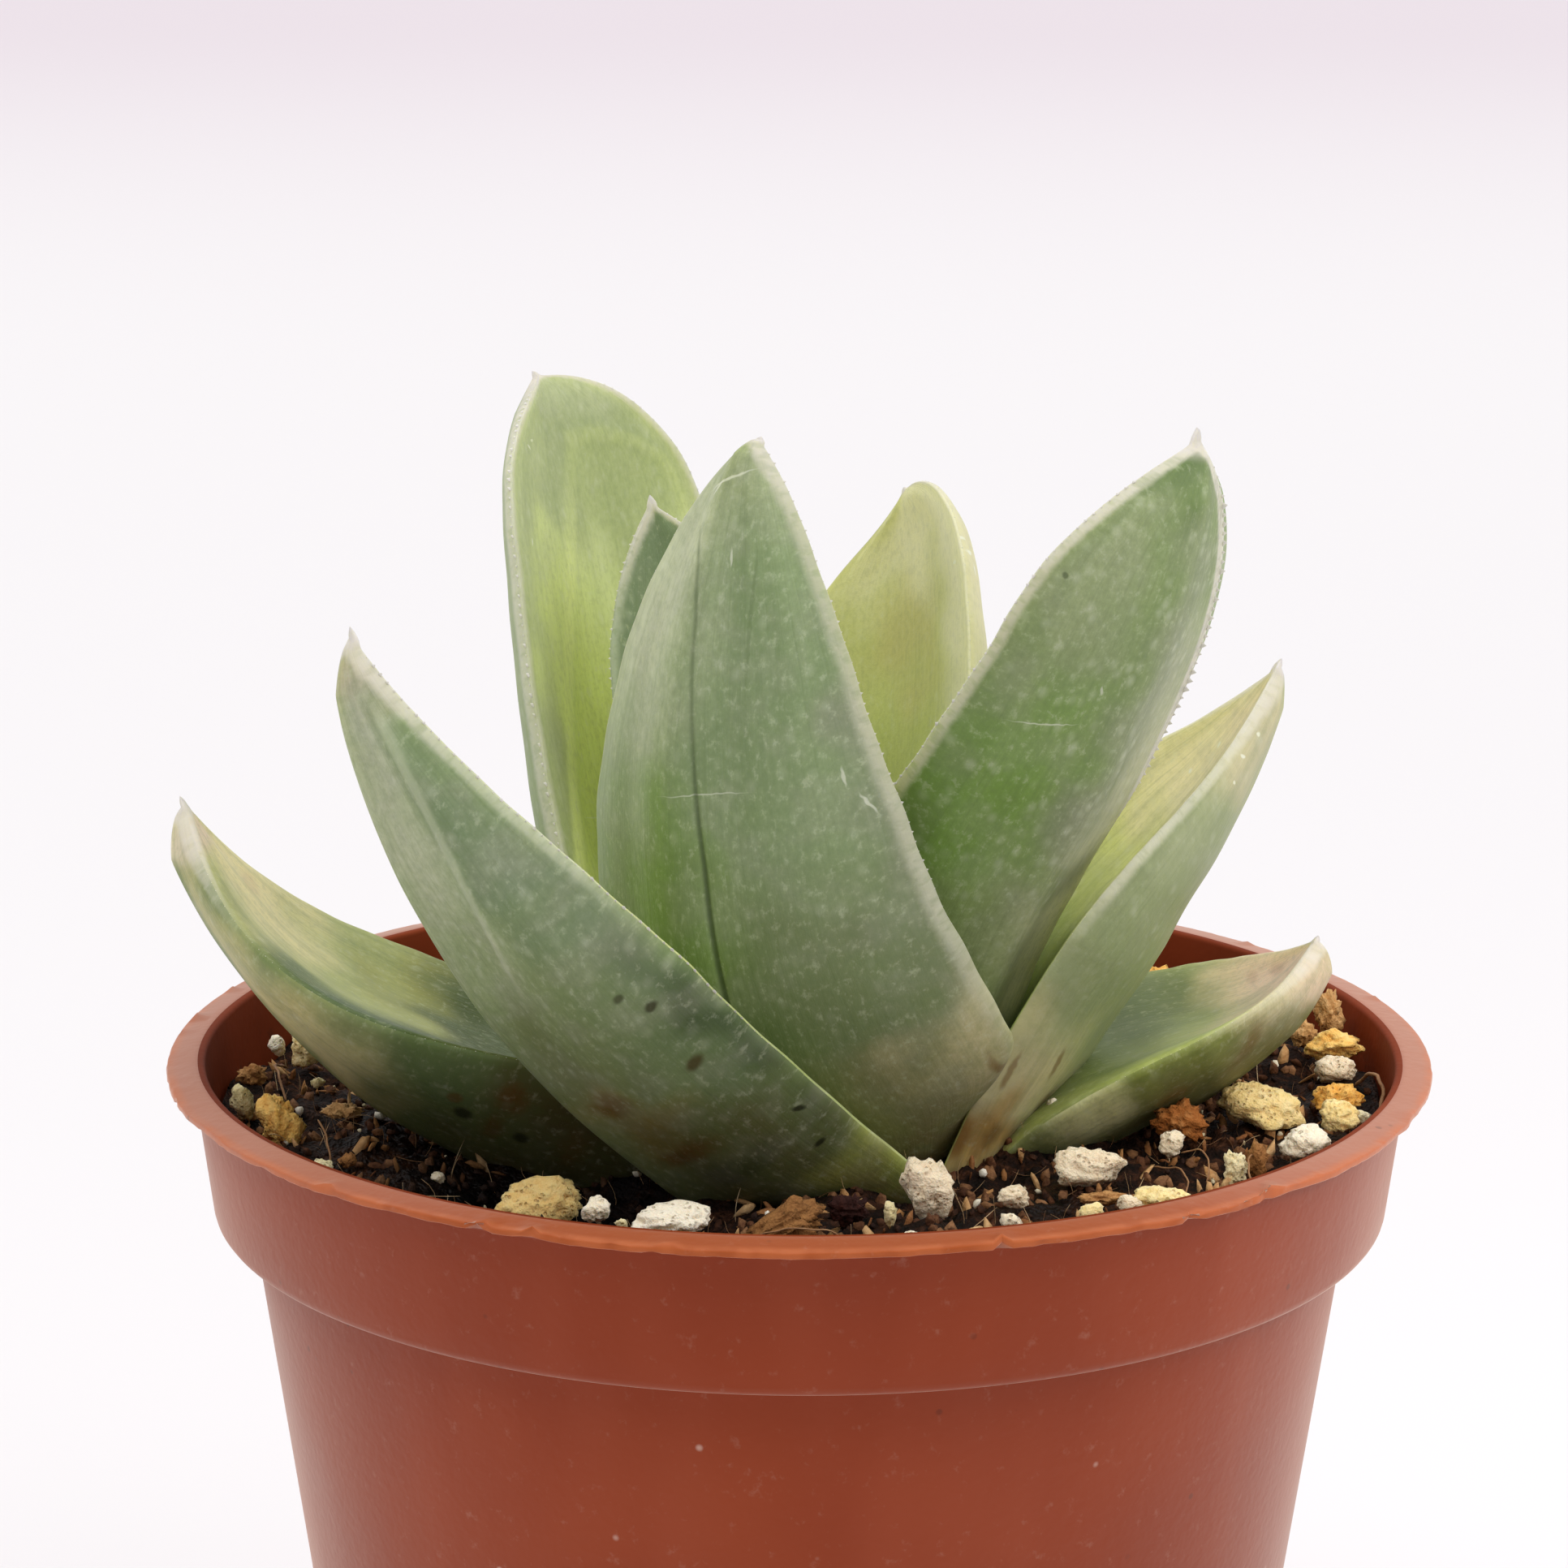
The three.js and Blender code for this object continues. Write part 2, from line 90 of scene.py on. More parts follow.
LEAF_EDGE = 0.35
LEAF_BELLY = 0.12
SPINE_START = 0.985
SPINE_HALF = 0.34
FOOT_THICK = 0.55
FULL_THICK_AT = 0.22
TIP_THIN = 0.72
TIP_ROUND = 0.05
BELLY_FLAT = 2.2
BELLY_ROUND = 0.75
KEEL_HALF = 0.22
MARGIN_ROUND = 0.2          # radius of a leaf's rounded margin
LEAF_GAP = 0.04             # between a leaf and the older ones that clasp it

LEAF_ROWS = 116
ROW_SPACING = 1.3           # more than 1 brings the rows closer together toward the tip
LEAF_ACROSS = 52            # steps across one face of a leaf
DENTS = 0.28                # depth of a leaf's broad dents
RIPPLES = 0.05              # height of its lengthwise ripples
ARCH_RIDGE = 0.34           # the pressed arch: its raised outline and its hollow
ARCH_HOLLOW = 0.12

LEAF_COMMON = dict(
    foot=3, footSide=0, sink=2.5, yaw=0, tipYaw=0, arm=0.36, tipArm=0.36, base=0.85, widest=0.4,
    point=2.4, skew=0, twist=0, keel=0, keelShare=0.2)

# From the oldest, outermost leaf to the youngest
LEAVES = {
    "leaf_front_left": dict(
        azimuth=-152, reach=38.5, height=38, rise=39, tipRise=80, tipYaw=2, width=20.2, thick=6.5,
        cup=0.06, tipCup=0.25, roll=15, twist=4, foot=4.5, footSide=4, widest=0.45, point=1.6,
        skew=0.18, keel=-0.3),
    "leaf_right_low": dict(
        azimuth=7, reach=28.2, height=13, rise=45, tipRise=73, tipYaw=-5, width=20, thick=5.5,
        cup=0.17, tipCup=0.33, roll=7.5, twist=-20, foot=5, footSide=2.5, sink=1, arm=0.41,
        widest=0.37, point=3),
    "leaf_left_low": dict(
        azimuth=180, reach=47.1, height=23.1, rise=21, tipRise=68, tipYaw=-2, width=21.5, thick=7,
        cup=0.53, tipCup=0, roll=8, twist=-10, foot=5, arm=0.43, tipArm=0.38, widest=0.48, keel=0.1),
    "leaf_right": dict(
        azimuth=11.5, reach=25.7, height=31.5, rise=67, tipRise=70, tipYaw=-3, width=22.2, thick=4,
        cup=0.4, tipCup=0.6, roll=-5, twist=4, foot=4.5, arm=0.55, tipArm=0.41, point=1.75,
        skew=-0.06),
    "leaf_rear_left": dict(
        azimuth=118, reach=27, height=21, rise=30, tipRise=62, width=19, thick=6, cup=0.25,
        tipCup=0.2, roll=0, foot=4.5),
    "leaf_rear_right": dict(
        azimuth=66, reach=24, height=14, rise=24, tipRise=58, width=17, thick=6, cup=0.25,
        tipCup=0.2, roll=0, foot=4.5),
    "leaf_front": dict(
        azimuth=-135.5, reach=12.8, height=48.3, rise=39, tipRise=113, width=26.8, thick=6.5,
        cup=0.24, tipCup=0.13, roll=21, twist=-2, foot=1, footSide=1, sink=2, base=0.47,
        widest=0.15, point=1.6, skew=-0.05, arm=0.51, tipArm=0.12, keel=-0.25),
    "leaf_front_right": dict(
        azimuth=-30.5, reach=20.6, height=49.2, rise=102, tipRise=86, tipYaw=2, width=19.2, thick=6,
        cup=0.19, tipCup=0.26, roll=-33.5, twist=22, foot=1.5, sink=1, widest=0.56, point=5.6,
        skew=-0.11, tipArm=0.42),
    "leaf_back_left": dict(
        azimuth=141.3, reach=32, height=48.3, rise=12.5, tipRise=53, yaw=23, tipYaw=32.5,
        width=24.1, thick=6, cup=0.2, tipCup=0.26, roll=4.5, twist=4, foot=3.5, sink=1.5,
        widest=0.55, point=4.2, skew=0.04, tipArm=0.19),
    "leaf_back": dict(
        azimuth=88.5, reach=24.6, height=39.6, rise=57, tipRise=37, tipYaw=38.5, width=21.5,
        thick=5.5, cup=0.25, tipCup=0.25, roll=-51.5, twist=-10, sink=1.5, widest=0.59, point=2.9,
        skew=0.14, arm=0.38, tipArm=0.15),
    "leaf_young": dict(
        azimuth=150, reach=19.2, height=41.5, rise=66, tipRise=80, width=16, thick=4, cup=0.2,
        tipCup=0.2, roll=-34, twist=-1.5, foot=1, sink=0, widest=0.51, skew=-0.06, tipArm=0.28),
}

# Lines on a leaf's lower face, as (s, v) points: a crease pressed in, or a keel that stands out and has teeth
CREASES = {
    "leaf_front": [(0.05, 0.0), (0.43, 0.01), (0.56, -0.04), (0.69, -0.1), (0.75, -0.19), (0.83, -0.42)],
    "leaf_front_left": [(0.5, 0.12), (0.63, 0.32), (0.76, 0.5), (0.94, 0.7)],
}
CREASE_DEPTH = {"leaf_front": 0.16, "leaf_front_left": -0.1}
CREASE_WIDE = {"leaf_front": 0.2, "leaf_front_left": 0.3}
CREASE_FADE = {"leaf_front": 0.55}  # how much of a crease is left in the leaf's upper half
# the paint along each line: painted shade in leaf_front's crease, a painted highlight on leaf_front_left's
# raised line
CREASE_SHADE_AND_HIGHLIGHT = {"leaf_front": ("#42532b", 0.75), "leaf_front_left": ("#c4caac", 0.4)}
PRESSED_LEAF = "leaf_back_left"
KEELS = {"leaf_front_right": [(0.5, 0.66), (0.6, 0.64), (0.7, 0.6), (0.8, 0.52), (0.9, 0.46), (0.98, 0.36)]}

# How far each leaf's margin is rounded off, in millimetres
SOFT_MARGIN = {"leaf_left_low": 0.7, "leaf_right_low": 0.9, "leaf_right": 0.5}

# Paints, as they look in white light
PAINTS = dict(
    mist_green="#b6bd96", sage="#94a674", moss="#7f9a50", deep_green="#5f7444", dark_green="#62764c",
    yellow_green="#cdd38c", olive="#7b7a44", cream="#ebdfb2", lavender="#a4a690", pale_horn="#c3c8ab",
    brown="#74501f", ochre="#b98d48", near_black="#22240f", fleck="#e4e6d2")


def clamp01(x):
    return np.clip(x, 0, 1)


def ease(x):
    return x * x * (3 - 2 * x)


def mix(a, b, t):
    return a + (b - a) * t


def linear(paint):
    """A paint's name or hex as linear red, green, blue and alpha."""
    text = PAINTS.get(paint, paint).lstrip("#")
    parts = [int(text[i:i + 2], 16) / 255 for i in (0, 2, 4)]
    return tuple(c / 12.92 if c <= 0.04045 else ((c + 0.055) / 1.055) ** 2.4 for c in parts) + (1,)


# Building node trees

class Nodes:
    """Adds nodes to a tree and joins them up."""

    def __init__(self, tree):
        self.tree = tree

    def add(self, kind, settings=None, values=(), **named):
        node = self.tree.nodes.new(kind)
        for key, value in (settings or {}).items():
            setattr(node, key, value)
        given = list(zip(node.inputs, values))
        given += [(node.inputs[key.replace("_", " ")], value) for key, value in named.items()]
        for socket, value in given:
            self.give(socket, value)
        return node

    def give(self, socket, value):
        """Links a socket to another, or sets its value."""
        if isinstance(value, bpy.types.NodeSocket):
            self.tree.links.new(value, socket)
        elif value is not None:
            socket.default_value = value

    def get(self, kind, **named):
        """The first output of a new node."""
        return self.add(kind, None, (), **named).outputs[0]

    def maths(self, operation, *values):
        return self.add("ShaderNodeMath", dict(operation=operation), values).outputs[0]

    def times(self, first, *others):
        for other in others:
            first = self.maths("MULTIPLY", first, other)
        return first

    def vector(self, operation, *values):
        node = self.add("ShaderNodeVectorMath", dict(operation=operation), values)
        return node.outputs[1 if operation in ("LENGTH", "DISTANCE", "DOT_PRODUCT") else 0]

    def scaled(self, vector, factor):
        return self.vector("SCALE", vector, None, None, factor)

    def stretched(self, vector, x, y, z):
        return self.vector("MULTIPLY", vector, (x, y, z))

    def from_axis(self, where):
        """A place's distance from the pot's axis."""
        x, y, _ = self.parts(where)
        return self.vector("LENGTH", self.joined(x, y, 0.0))

    def ramp(self, value, low, high, to_low=0.0, to_high=1.0):
        """A smooth step from one value to another, which stops at both."""
        return self.add("ShaderNodeMapRange", dict(interpolation_type="SMOOTHSTEP"),
                        [value, low, high, to_low, to_high]).outputs[0]

    def blend(self, share, a, b):
        """Colour a turning to colour b."""
        node = self.add("ShaderNodeMix", dict(data_type="RGBA", blend_type="MIX"))
        for socket, value in ((node.inputs[0], share), (node.inputs[6], a), (node.inputs[7], b)):
            self.give(socket, linear(value) if isinstance(value, str) else value)
        return node.outputs[2]

    def lay(self, colour, paint, *shares):
        """A paint laid over a colour, as thick as the product of the shares."""
        return self.blend(self.times(*shares), colour, paint)

    def colours(self, value, stops):
        """A colour that follows a value through (place, paint) stops."""
        node = self.add("ShaderNodeValToRGB", None, [value])
        bar = node.color_ramp.elements
        while len(bar) < len(stops):
            bar.new(0.5)
        for element, (place, paint) in zip(bar, stops):
            element.position = place
            element.color = linear(paint)
        return node.outputs[0]

    def noise(self, where, scale, detail=3.0, rough=0.5):
        return self.get("ShaderNodeTexNoise", Vector=where, Scale=scale, Detail=detail, Roughness=rough)

    def cells(self, where, scale, random=1.0):
        return self.get("ShaderNodeTexVoronoi", Vector=where, Scale=scale, Randomness=random)

    def chance(self, kind, seed, low, high):
        """A random value between low and high for every point."""
        first = {"FLOAT_VECTOR": 0, "FLOAT": 2, "INT": 4}[kind]
        given = [None] * first + [low, high]
        node = self.add("FunctionNodeRandomValue", dict(data_type=kind), given, Seed=seed)
        return node.outputs[first // 2]

    def uv(self, name):
        return self.add("ShaderNodeUVMap", dict(uv_map=name)).outputs[0]

    def place(self):
        return self.add("ShaderNodeTexCoord").outputs["Object"]

    def parts(self, vector):
        return self.add("ShaderNodeSeparateXYZ", None, [vector]).outputs

    def joined(self, x, y, z):
        return self.add("ShaderNodeCombineXYZ", None, [x, y, z]).outputs[0]

    def oval(self, where, x, y, wide, long, turn):
        """1 inside an oval round (x, y), fading to 0 across its edge."""
        node = self.add("ShaderNodeMapping", dict(vector_type="TEXTURE"), Vector=where, Location=(x, y, 0),
                        Rotation=(0, 0, math.radians(turn)), Scale=(wide, long, 1))
        return self.ramp(self.vector("LENGTH", self.stretched(node.outputs[0], 1, 1, 0)), 1.45, 0.55)

    def surface(self, **named):
        shader = self.get("ShaderNodeBsdfPrincipled", **named)
        self.add("ShaderNodeOutputMaterial", None, [shader])


def new_material(name):
    material = bpy.data.materials.new(name)
    material.use_nodes = True
    material.node_tree.nodes.clear()
    return material, Nodes(material.node_tree)


def finish_material(n, colour, roughness, height, depth, **fixed):
    """The surface itself: colour and roughness may vary, the height gives the bump, the rest is fixed."""
    bump = n.get("ShaderNodeBump", Strength=1.0, Distance=depth, Height=height)
    n.surface(Base_Color=colour, Roughness=roughness, Normal=bump, **fixed)


# Meshes

def new_piece(name, data):
    piece = bpy.data.objects.new(name, data)
    bpy.context.scene.collection.objects.link(piece)
    return piece


def make_mesh(name, points_mm, faces, material, maps=None):
    """A mesh object at the origin. maps gives UV maps as {name: one pair for every corner of every face}."""
    mesh = bpy.data.meshes.new(name)
    mesh.from_pydata((np.asarray(points_mm) * MM).tolist(), [], faces)
    for key, pairs in (maps or {}).items():
        layer = mesh.uv_layers.new(name=key)
        layer.uv.foreach_set("vector", np.asarray(pairs, np.float32).ravel())
    if material:
        mesh.materials.append(material)
    mesh.shade_smooth()
    return new_piece(name, mesh)


def make_line(name, points_mm, edges):
    mesh = bpy.data.meshes.new(name)
    mesh.from_pydata((np.array(points_mm) * MM).tolist(), edges, [])
    return new_piece(name, mesh)


def add_values(piece, key, kind, values):
    """Keeps a value for every point of a piece, for its nodes to read."""
    layer = piece.data.attributes.new(key, kind, "POINT")
    field = "value" if kind == "FLOAT" else "vector"
    layer.data.foreach_set(field, np.array(values, np.float32).ravel())


def round_places(turns):
    """Even steps round a unit circle."""
    angles = [2 * math.pi * k / turns for k in range(turns)]
    return [(math.cos(a), math.sin(a)) for a in angles]


def ring_faces(rows, size):
    """Four-sided faces between neighbouring rings of points."""
    faces = []
    for row in range(rows - 1):
        a, b = row * size, (row + 1) * size
        for k in range(size):
            m = (k + 1) % size
            faces.append((a + k, a + m, b + m, b + k))
    return faces


def dress(piece, slot, *nodes):
    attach(piece, "root")
    if nodes:
        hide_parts(*nodes)


def turned_to_mesh(piece):
    """Works out a piece's modifiers and keeps the result as a plain mesh."""
    bpy.context.view_layer.update()
    graph = bpy.context.evaluated_depsgraph_get()
    mesh = bpy.data.meshes.new_from_object(piece.evaluated_get(graph), preserve_all_data_layers=True,
                                           depsgraph=graph)
    piece.modifiers.clear()
    piece.data = mesh
    mesh.name = piece.name


def geometry_tree(name, inputs):
    """An empty geometry node tree with named inputs, given as (name, kind, value)."""
    tree = bpy.data.node_groups.new(name, "GeometryNodeTree")
    tree.interface.new_socket("Geometry", in_out="INPUT", socket_type="NodeSocketGeometry")
    for key, kind, value in inputs:
        socket = tree.interface.new_socket(key, in_out="INPUT", socket_type="NodeSocket" + kind)
        socket.default_value = value
    tree.interface.new_socket("Geometry", in_out="OUTPUT", socket_type="NodeSocketGeometry")
    n = Nodes(tree)
    start = n.add("NodeGroupInput")
    return tree, n, {socket.name: socket for socket in start.outputs if socket.name}


def finish_tree(n, geometry, material, *others):
    """Ends a tree in plain geometry with the material, and others as (chosen faces, material)."""
    real = n.get("GeometryNodeRealizeInstances", Geometry=geometry)
    painted = n.get("GeometryNodeSetMaterial", Geometry=real, Material=material)
    for chosen, other in others:
        painted = n.get("GeometryNodeSetMaterial", Geometry=painted, Selection=chosen, Material=other)
    n.add("NodeGroupOutput", None, [painted])


def run_tree(piece, tree, **values):
    """Puts a tree on a piece and sets its inputs, each by its socket's identifier."""
    modifier = piece.modifiers.new(tree.name, "NODES")
    modifier.node_group = tree
    for item in tree.interface.items_tree:
        key = item.name.replace(" ", "_").lower()
        if item.item_type == "SOCKET" and item.in_out == "INPUT" and key in values:
            modifier[item.identifier] = values[key]


# The leaves

def leaf_frame(leaf, s):
    """The middle line and the directions along it, across it and up from it, for every s."""
    azimuth = math.radians(leaf["azimuth"])
    out = np.array([math.cos(azimuth), math.sin(azimuth), 0])
    side = np.array([-math.sin(azimuth), math.cos(azimuth), 0])
    up = np.array([0, 0, 1.0])
    stem = np.array([STEM_X, STEM_Y, SOIL_Z], float)

    def aim(rise, yaw):
        rise, yaw = math.radians(rise), math.radians(yaw)
        level = out * math.cos(rise) * math.cos(yaw) + side * math.cos(rise) * math.sin(yaw)
        return level + up * math.sin(rise)

    foot = stem + out * leaf["foot"] + side * leaf["footSide"] - up * leaf["sink"]
    tip = stem + out * leaf["reach"] + up * leaf["height"]
    span = np.linalg.norm(tip - foot)
    near = foot + aim(leaf["rise"], leaf["yaw"]) * span * leaf["arm"]
    far = tip - aim(leaf["tipRise"], leaf["tipYaw"]) * span * leaf["tipArm"]
    s = np.asarray(s, float)[:, None]
    r = 1 - s
    centre = r ** 3 * foot + 3 * r * r * s * near + 3 * r * s * s * far + s ** 3 * tip
    along = r * r * (near - foot) + 2 * r * s * (far - near) + s * s * (tip - far)
    along /= np.linalg.norm(along, axis=1, keepdims=True)
    flat = side - along * (along @ side)[:, None]
    flat /= np.linalg.norm(flat, axis=1, keepdims=True)
    turn = np.radians(leaf["roll"] + leaf["twist"] * s)
    across = flat * np.cos(turn) + np.cross(along, flat) * np.sin(turn)
    return centre, along, across, np.cross(along, across)


def leaf_half_width(leaf, s):
    grow = mix(leaf["base"], 1, ease(clamp01(s / leaf["widest"])))
    narrow = 1 - clamp01((s - leaf["widest"]) / (SPINE_START - leaf["widest"])) ** leaf["point"]
    blade = leaf["width"] / 2 * np.where(s < leaf["widest"], grow, narrow)
    spine = SPINE_HALF * clamp01((1 - s) / (1 - SPINE_START)) ** 0.8
    return np.maximum(blade, spine)


def leaf_thickness(leaf, s):
    swell = mix(FOOT_THICK, 1, ease(clamp01(s / FULL_THICK_AT)))
    thin = 1 - TIP_THIN * ease(clamp01((s - FULL_THICK_AT) / (1 - FULL_THICK_AT)))
    return leaf["thick"] * swell * thin * np.sqrt(clamp01((SPINE_START - s) / TIP_ROUND))


def crease_share(name, s, v, half):
    """How deep in the leaf's crease a place is, from 0 to 1."""
    if name not in CREASES:
        return np.zeros_like(v)
    path = np.array(CREASES[name]).T
    window = ease(clamp01((s - path[0][0]) / 0.1)) * ease(clamp01((path[0][-1] - s) / 0.06))
    window = window * mix(1, CREASE_FADE.get(name, 1), ease(clamp01((s - 0.35) / 0.25)))
    return window * np.exp(-((v - np.interp(s, *path)) * half / CREASE_WIDE[name]) ** 2)


def keel_share(name, s, v, half):
    if name not in KEELS:
        return np.zeros_like(v)
    path = np.array(KEELS[name]).T
    window = ease(clamp01((s - path[0][0]) / 0.1))
    return window * np.exp(-((v - np.interp(s, *path)) * half / 0.4) ** 2)


def pressed_share(name, s, v):
    """Inside the arch that a younger leaf left pressed in the tall back leaf's upper face."""
    if name != PRESSED_LEAF:
        return np.zeros_like(v)
    side = 0.76 - 1.85 * (s - 0.44) - v
    top = (0.87 - s) * 6 - 0.8 * np.maximum(0, -0.3 - v) ** 2
    return ease(clamp01(np.minimum(side, top) / 0.3 + 0.5)) * ease(clamp01((v + 0.95) / 0.2))


def steps_across(name, s, count):
    """Places across one face, close together at the margins and in a crease."""
    fine = np.linspace(-1, 1, 1601)
    density = 1 / np.sqrt(1.0015 - fine ** 2)
    for lines in (CREASES, KEELS):
        if name in lines:
            path = np.array(lines[name]).T
            density = density + 7 * np.exp(-((fine - np.interp(s, *path)) / 0.07) ** 2)
    total = np.concatenate([[0], np.cumsum((density[1:] + density[:-1]) / 2)])
    return np.interp(np.linspace(0, total[-1], count + 1), total, fine)


def softened(ring, reach):
    """A closed ring of points with its sharp turns rounded off over that reach."""
    gaps = np.linalg.norm(np.roll(ring, -1, 0) - ring, axis=1)
    place = np.concatenate([[0], np.cumsum(gaps)[:-1]])
    apart = np.abs(place[:, None] - place[None])
    apart = np.minimum(apart, gaps.sum() - apart)
    weight = np.exp(-(apart / reach) ** 2) * (gaps + np.roll(gaps, 1))[None]
    return weight @ ring / weight.sum(1)[:, None]


def leaf_surface(name, swell=0.0):
    """A leaf's skin as rings of points, with what else its mesh, its margins and its cutter need."""
    leaf = {**LEAF_COMMON, **LEAVES[name]}
    s = 1 - (1 - np.arange(LEAF_ROWS) / LEAF_ROWS) ** ROW_SPACING
    centre, along, across, normal = leaf_frame(leaf, s)
    half = leaf_half_width(leaf, s)
    thick = leaf_thickness(leaf, s)
    seed = list(LEAVES).index(name) * 7.3
    half = half * (1 + 0.006 * np.sin(31 * s + seed) + 0.004 * np.sin(73 * s + 2 * seed))
    cup = mix(leaf["cup"], leaf["tipCup"], s) * half
    shift = leaf["skew"] * s * half
    soft = SOFT_MARGIN.get(name, 0) * clamp01(half / 5)
    rings, places, relief = [], [], []
    for i in range(LEAF_ROWS):
        v = steps_across(name, s[i], LEAF_ACROSS)
        inward = (1 - np.abs(v)) * half[i]
        rounding = min(MARGIN_ROUND, half[i])
        edge = mix(rounding, min(LEAF_EDGE, half[i]), ease(clamp01(inward / 2)))
        edge = edge * np.sqrt(1 - (1 - clamp01(inward / rounding)) ** 2) + swell
        middle = (1 - v ** 4) * min(1, thick[i] / 2)
        dents = np.array([noise.noise((seed + 1.7 * x, 7 * s[i], 0.5)) for x in v]) * DENTS * middle
        ripple = RIPPLES * np.sin(9 * v + seed) * middle
        crease = crease_share(name, s[i], v, half[i])
        keel = keel_share(name, s[i], v, half[i])
        pressed = pressed_share(name, s[i], v)
        upper = edge + LEAF_BELLY * thick[i] * (1 - v * v) + ripple + dents
        upper = upper + (ARCH_RIDGE * pressed * (1 - pressed) - ARCH_HOLLOW * pressed) * middle
        body = (1 - np.abs(v) ** BELLY_FLAT) ** BELLY_ROUND
        ridge = np.exp(-((v - leaf["keel"]) / KEEL_HALF) ** 2) * (1 - v * v)
        lower = -edge - thick[i] * mix(body, ridge, leaf["keelShare"]) + ripple - dents
        lower = lower + CREASE_DEPTH.get(name, 0) * crease - 0.2 * keel
        flat = v * (half[i] + swell + 0.5 * soft[i]) + shift[i]
        bend = cup[i] * v * v
        top = centre[i] + np.outer(flat, across[i]) + np.outer(bend + upper, normal[i])
        low = centre[i] + np.outer(flat, across[i]) + np.outer(bend + lower, normal[i])
        ring = np.concatenate([top, low[-2:0:-1]])
        rings.append(softened(ring, soft[i]) if soft[i] > 0.05 else ring)
        places.append(np.concatenate([v, v[-2:0:-1]]))
        relief.append([np.concatenate([a, b[-2:0:-1]]) for a, b in ((0 * v, crease), (pressed, keel))])
    length = np.concatenate([[0], np.cumsum(np.linalg.norm(np.diff(centre, axis=0), axis=1))])
    return dict(
        name=name, leaf=leaf, s=s, half=half, length=length, rings=np.array(rings), v=np.array(places),
        relief=np.array(relief), centre=centre, along=along, across=across, normal=normal, thick=thick)


def leaf_mesh(shape, material, name, swell=0.0):
    """A closed leaf. Its UV maps hold (v, s), (across, along) in millimetres, (upper face, distance from the
    margin), and (crease, keel or pressed place)."""
    rows, size = shape["rings"].shape[:2]
    foot = shape["centre"][0] - shape["along"][0] * swell - shape["normal"][0] * 0.3 * shape["thick"][0]
    end, end_along, _, _ = leaf_frame(shape["leaf"], [1.0])
    points = np.concatenate([shape["rings"].reshape(-1, 3), [foot, end[0] + end_along[0] * swell]])
    v = np.append(shape["v"].ravel(), [0, 0])
    s = np.append(np.repeat(shape["s"], size), [0, 1])
    half = np.append(np.repeat(shape["half"], size), [shape["half"][0], 0])
    length = np.append(np.repeat(shape["length"], size), [0, shape["length"][-1]])
    relief = np.concatenate([shape["relief"].transpose(0, 2, 1).reshape(-1, 2), [(0, 0), (0, 0)]])
    # rings of faces, then a fan at the foot and one at the tip
    faces = ring_faces(rows, size)
    last = (rows - 1) * size
    for k in range(size):
        m = (k + 1) % size
        faces += [(m, k, rows * size), (last + k, last + m, rows * size + 1)]
    on_top = (np.arange(size) < LEAF_ACROSS).astype(float)
    is_upper = np.concatenate([np.tile(np.repeat(on_top, 4), rows - 1), np.repeat(on_top, 6)])
    corners = np.concatenate([np.array(f) for f in faces])
    maps = dict(
        leaf_share=np.stack([v, s], 1)[corners], leaf_mm=np.stack([v * half, length], 1)[corners],
        leaf_side=np.stack([is_upper, ((1 - np.abs(v)) * half)[corners]], 1), leaf_relief=relief[corners])
    piece = make_mesh(name, points, faces, material, maps)
    if material:
        lower, upper = skin_washes(shape["name"], v, s, v * half, length)
        colour = np.where(is_upper[:, None] > 0, upper[corners], lower[corners])
        layer = piece.data.attributes.new("wash", "FLOAT_COLOR", "CORNER")
        layer.data.foreach_set("color", colour.astype(np.float32).ravel())
    return piece


def keep_largest(mesh):
    """Deletes all but the largest connected part of a mesh."""
    shape = bmesh.new()
    shape.from_mesh(mesh)
    left = set(shape.verts)
    parts = []
    while left:
        seed = left.pop()
        part, edge = {seed}, [seed]
        while edge:
            here = edge.pop()
            for link in here.link_edges:
                other = link.other_vert(here)
                if other in left:
                    left.discard(other)
                    part.add(other)
                    edge.append(other)
        parts.append(part)
    parts.sort(key=len)
    for part in parts[:-1]:
        bmesh.ops.delete(shape, geom=list(part), context="VERTS")
    shape.to_mesh(mesh)
    shape.free()


def cut_by(piece, cutters):
    """Takes the cutters out of a piece, as an older leaf's foot clasps the younger ones."""
    low, high = box_of(piece)
    for cutter in cutters:
        other_low, other_high = box_of(cutter)
        if (low < other_high).all() and (other_low < high).all():
            modifier = piece.modifiers.new("clasp", "BOOLEAN")
            modifier.operation = "DIFFERENCE"
            modifier.solver = "MANIFOLD"
            modifier.object = cutter
    turned_to_mesh(piece)
    keep_largest(piece.data)
    piece.data.shade_smooth()


def box_of(piece):
    points = np.array([v.co for v in piece.data.vertices])
    return points.min(0), points.max(0)


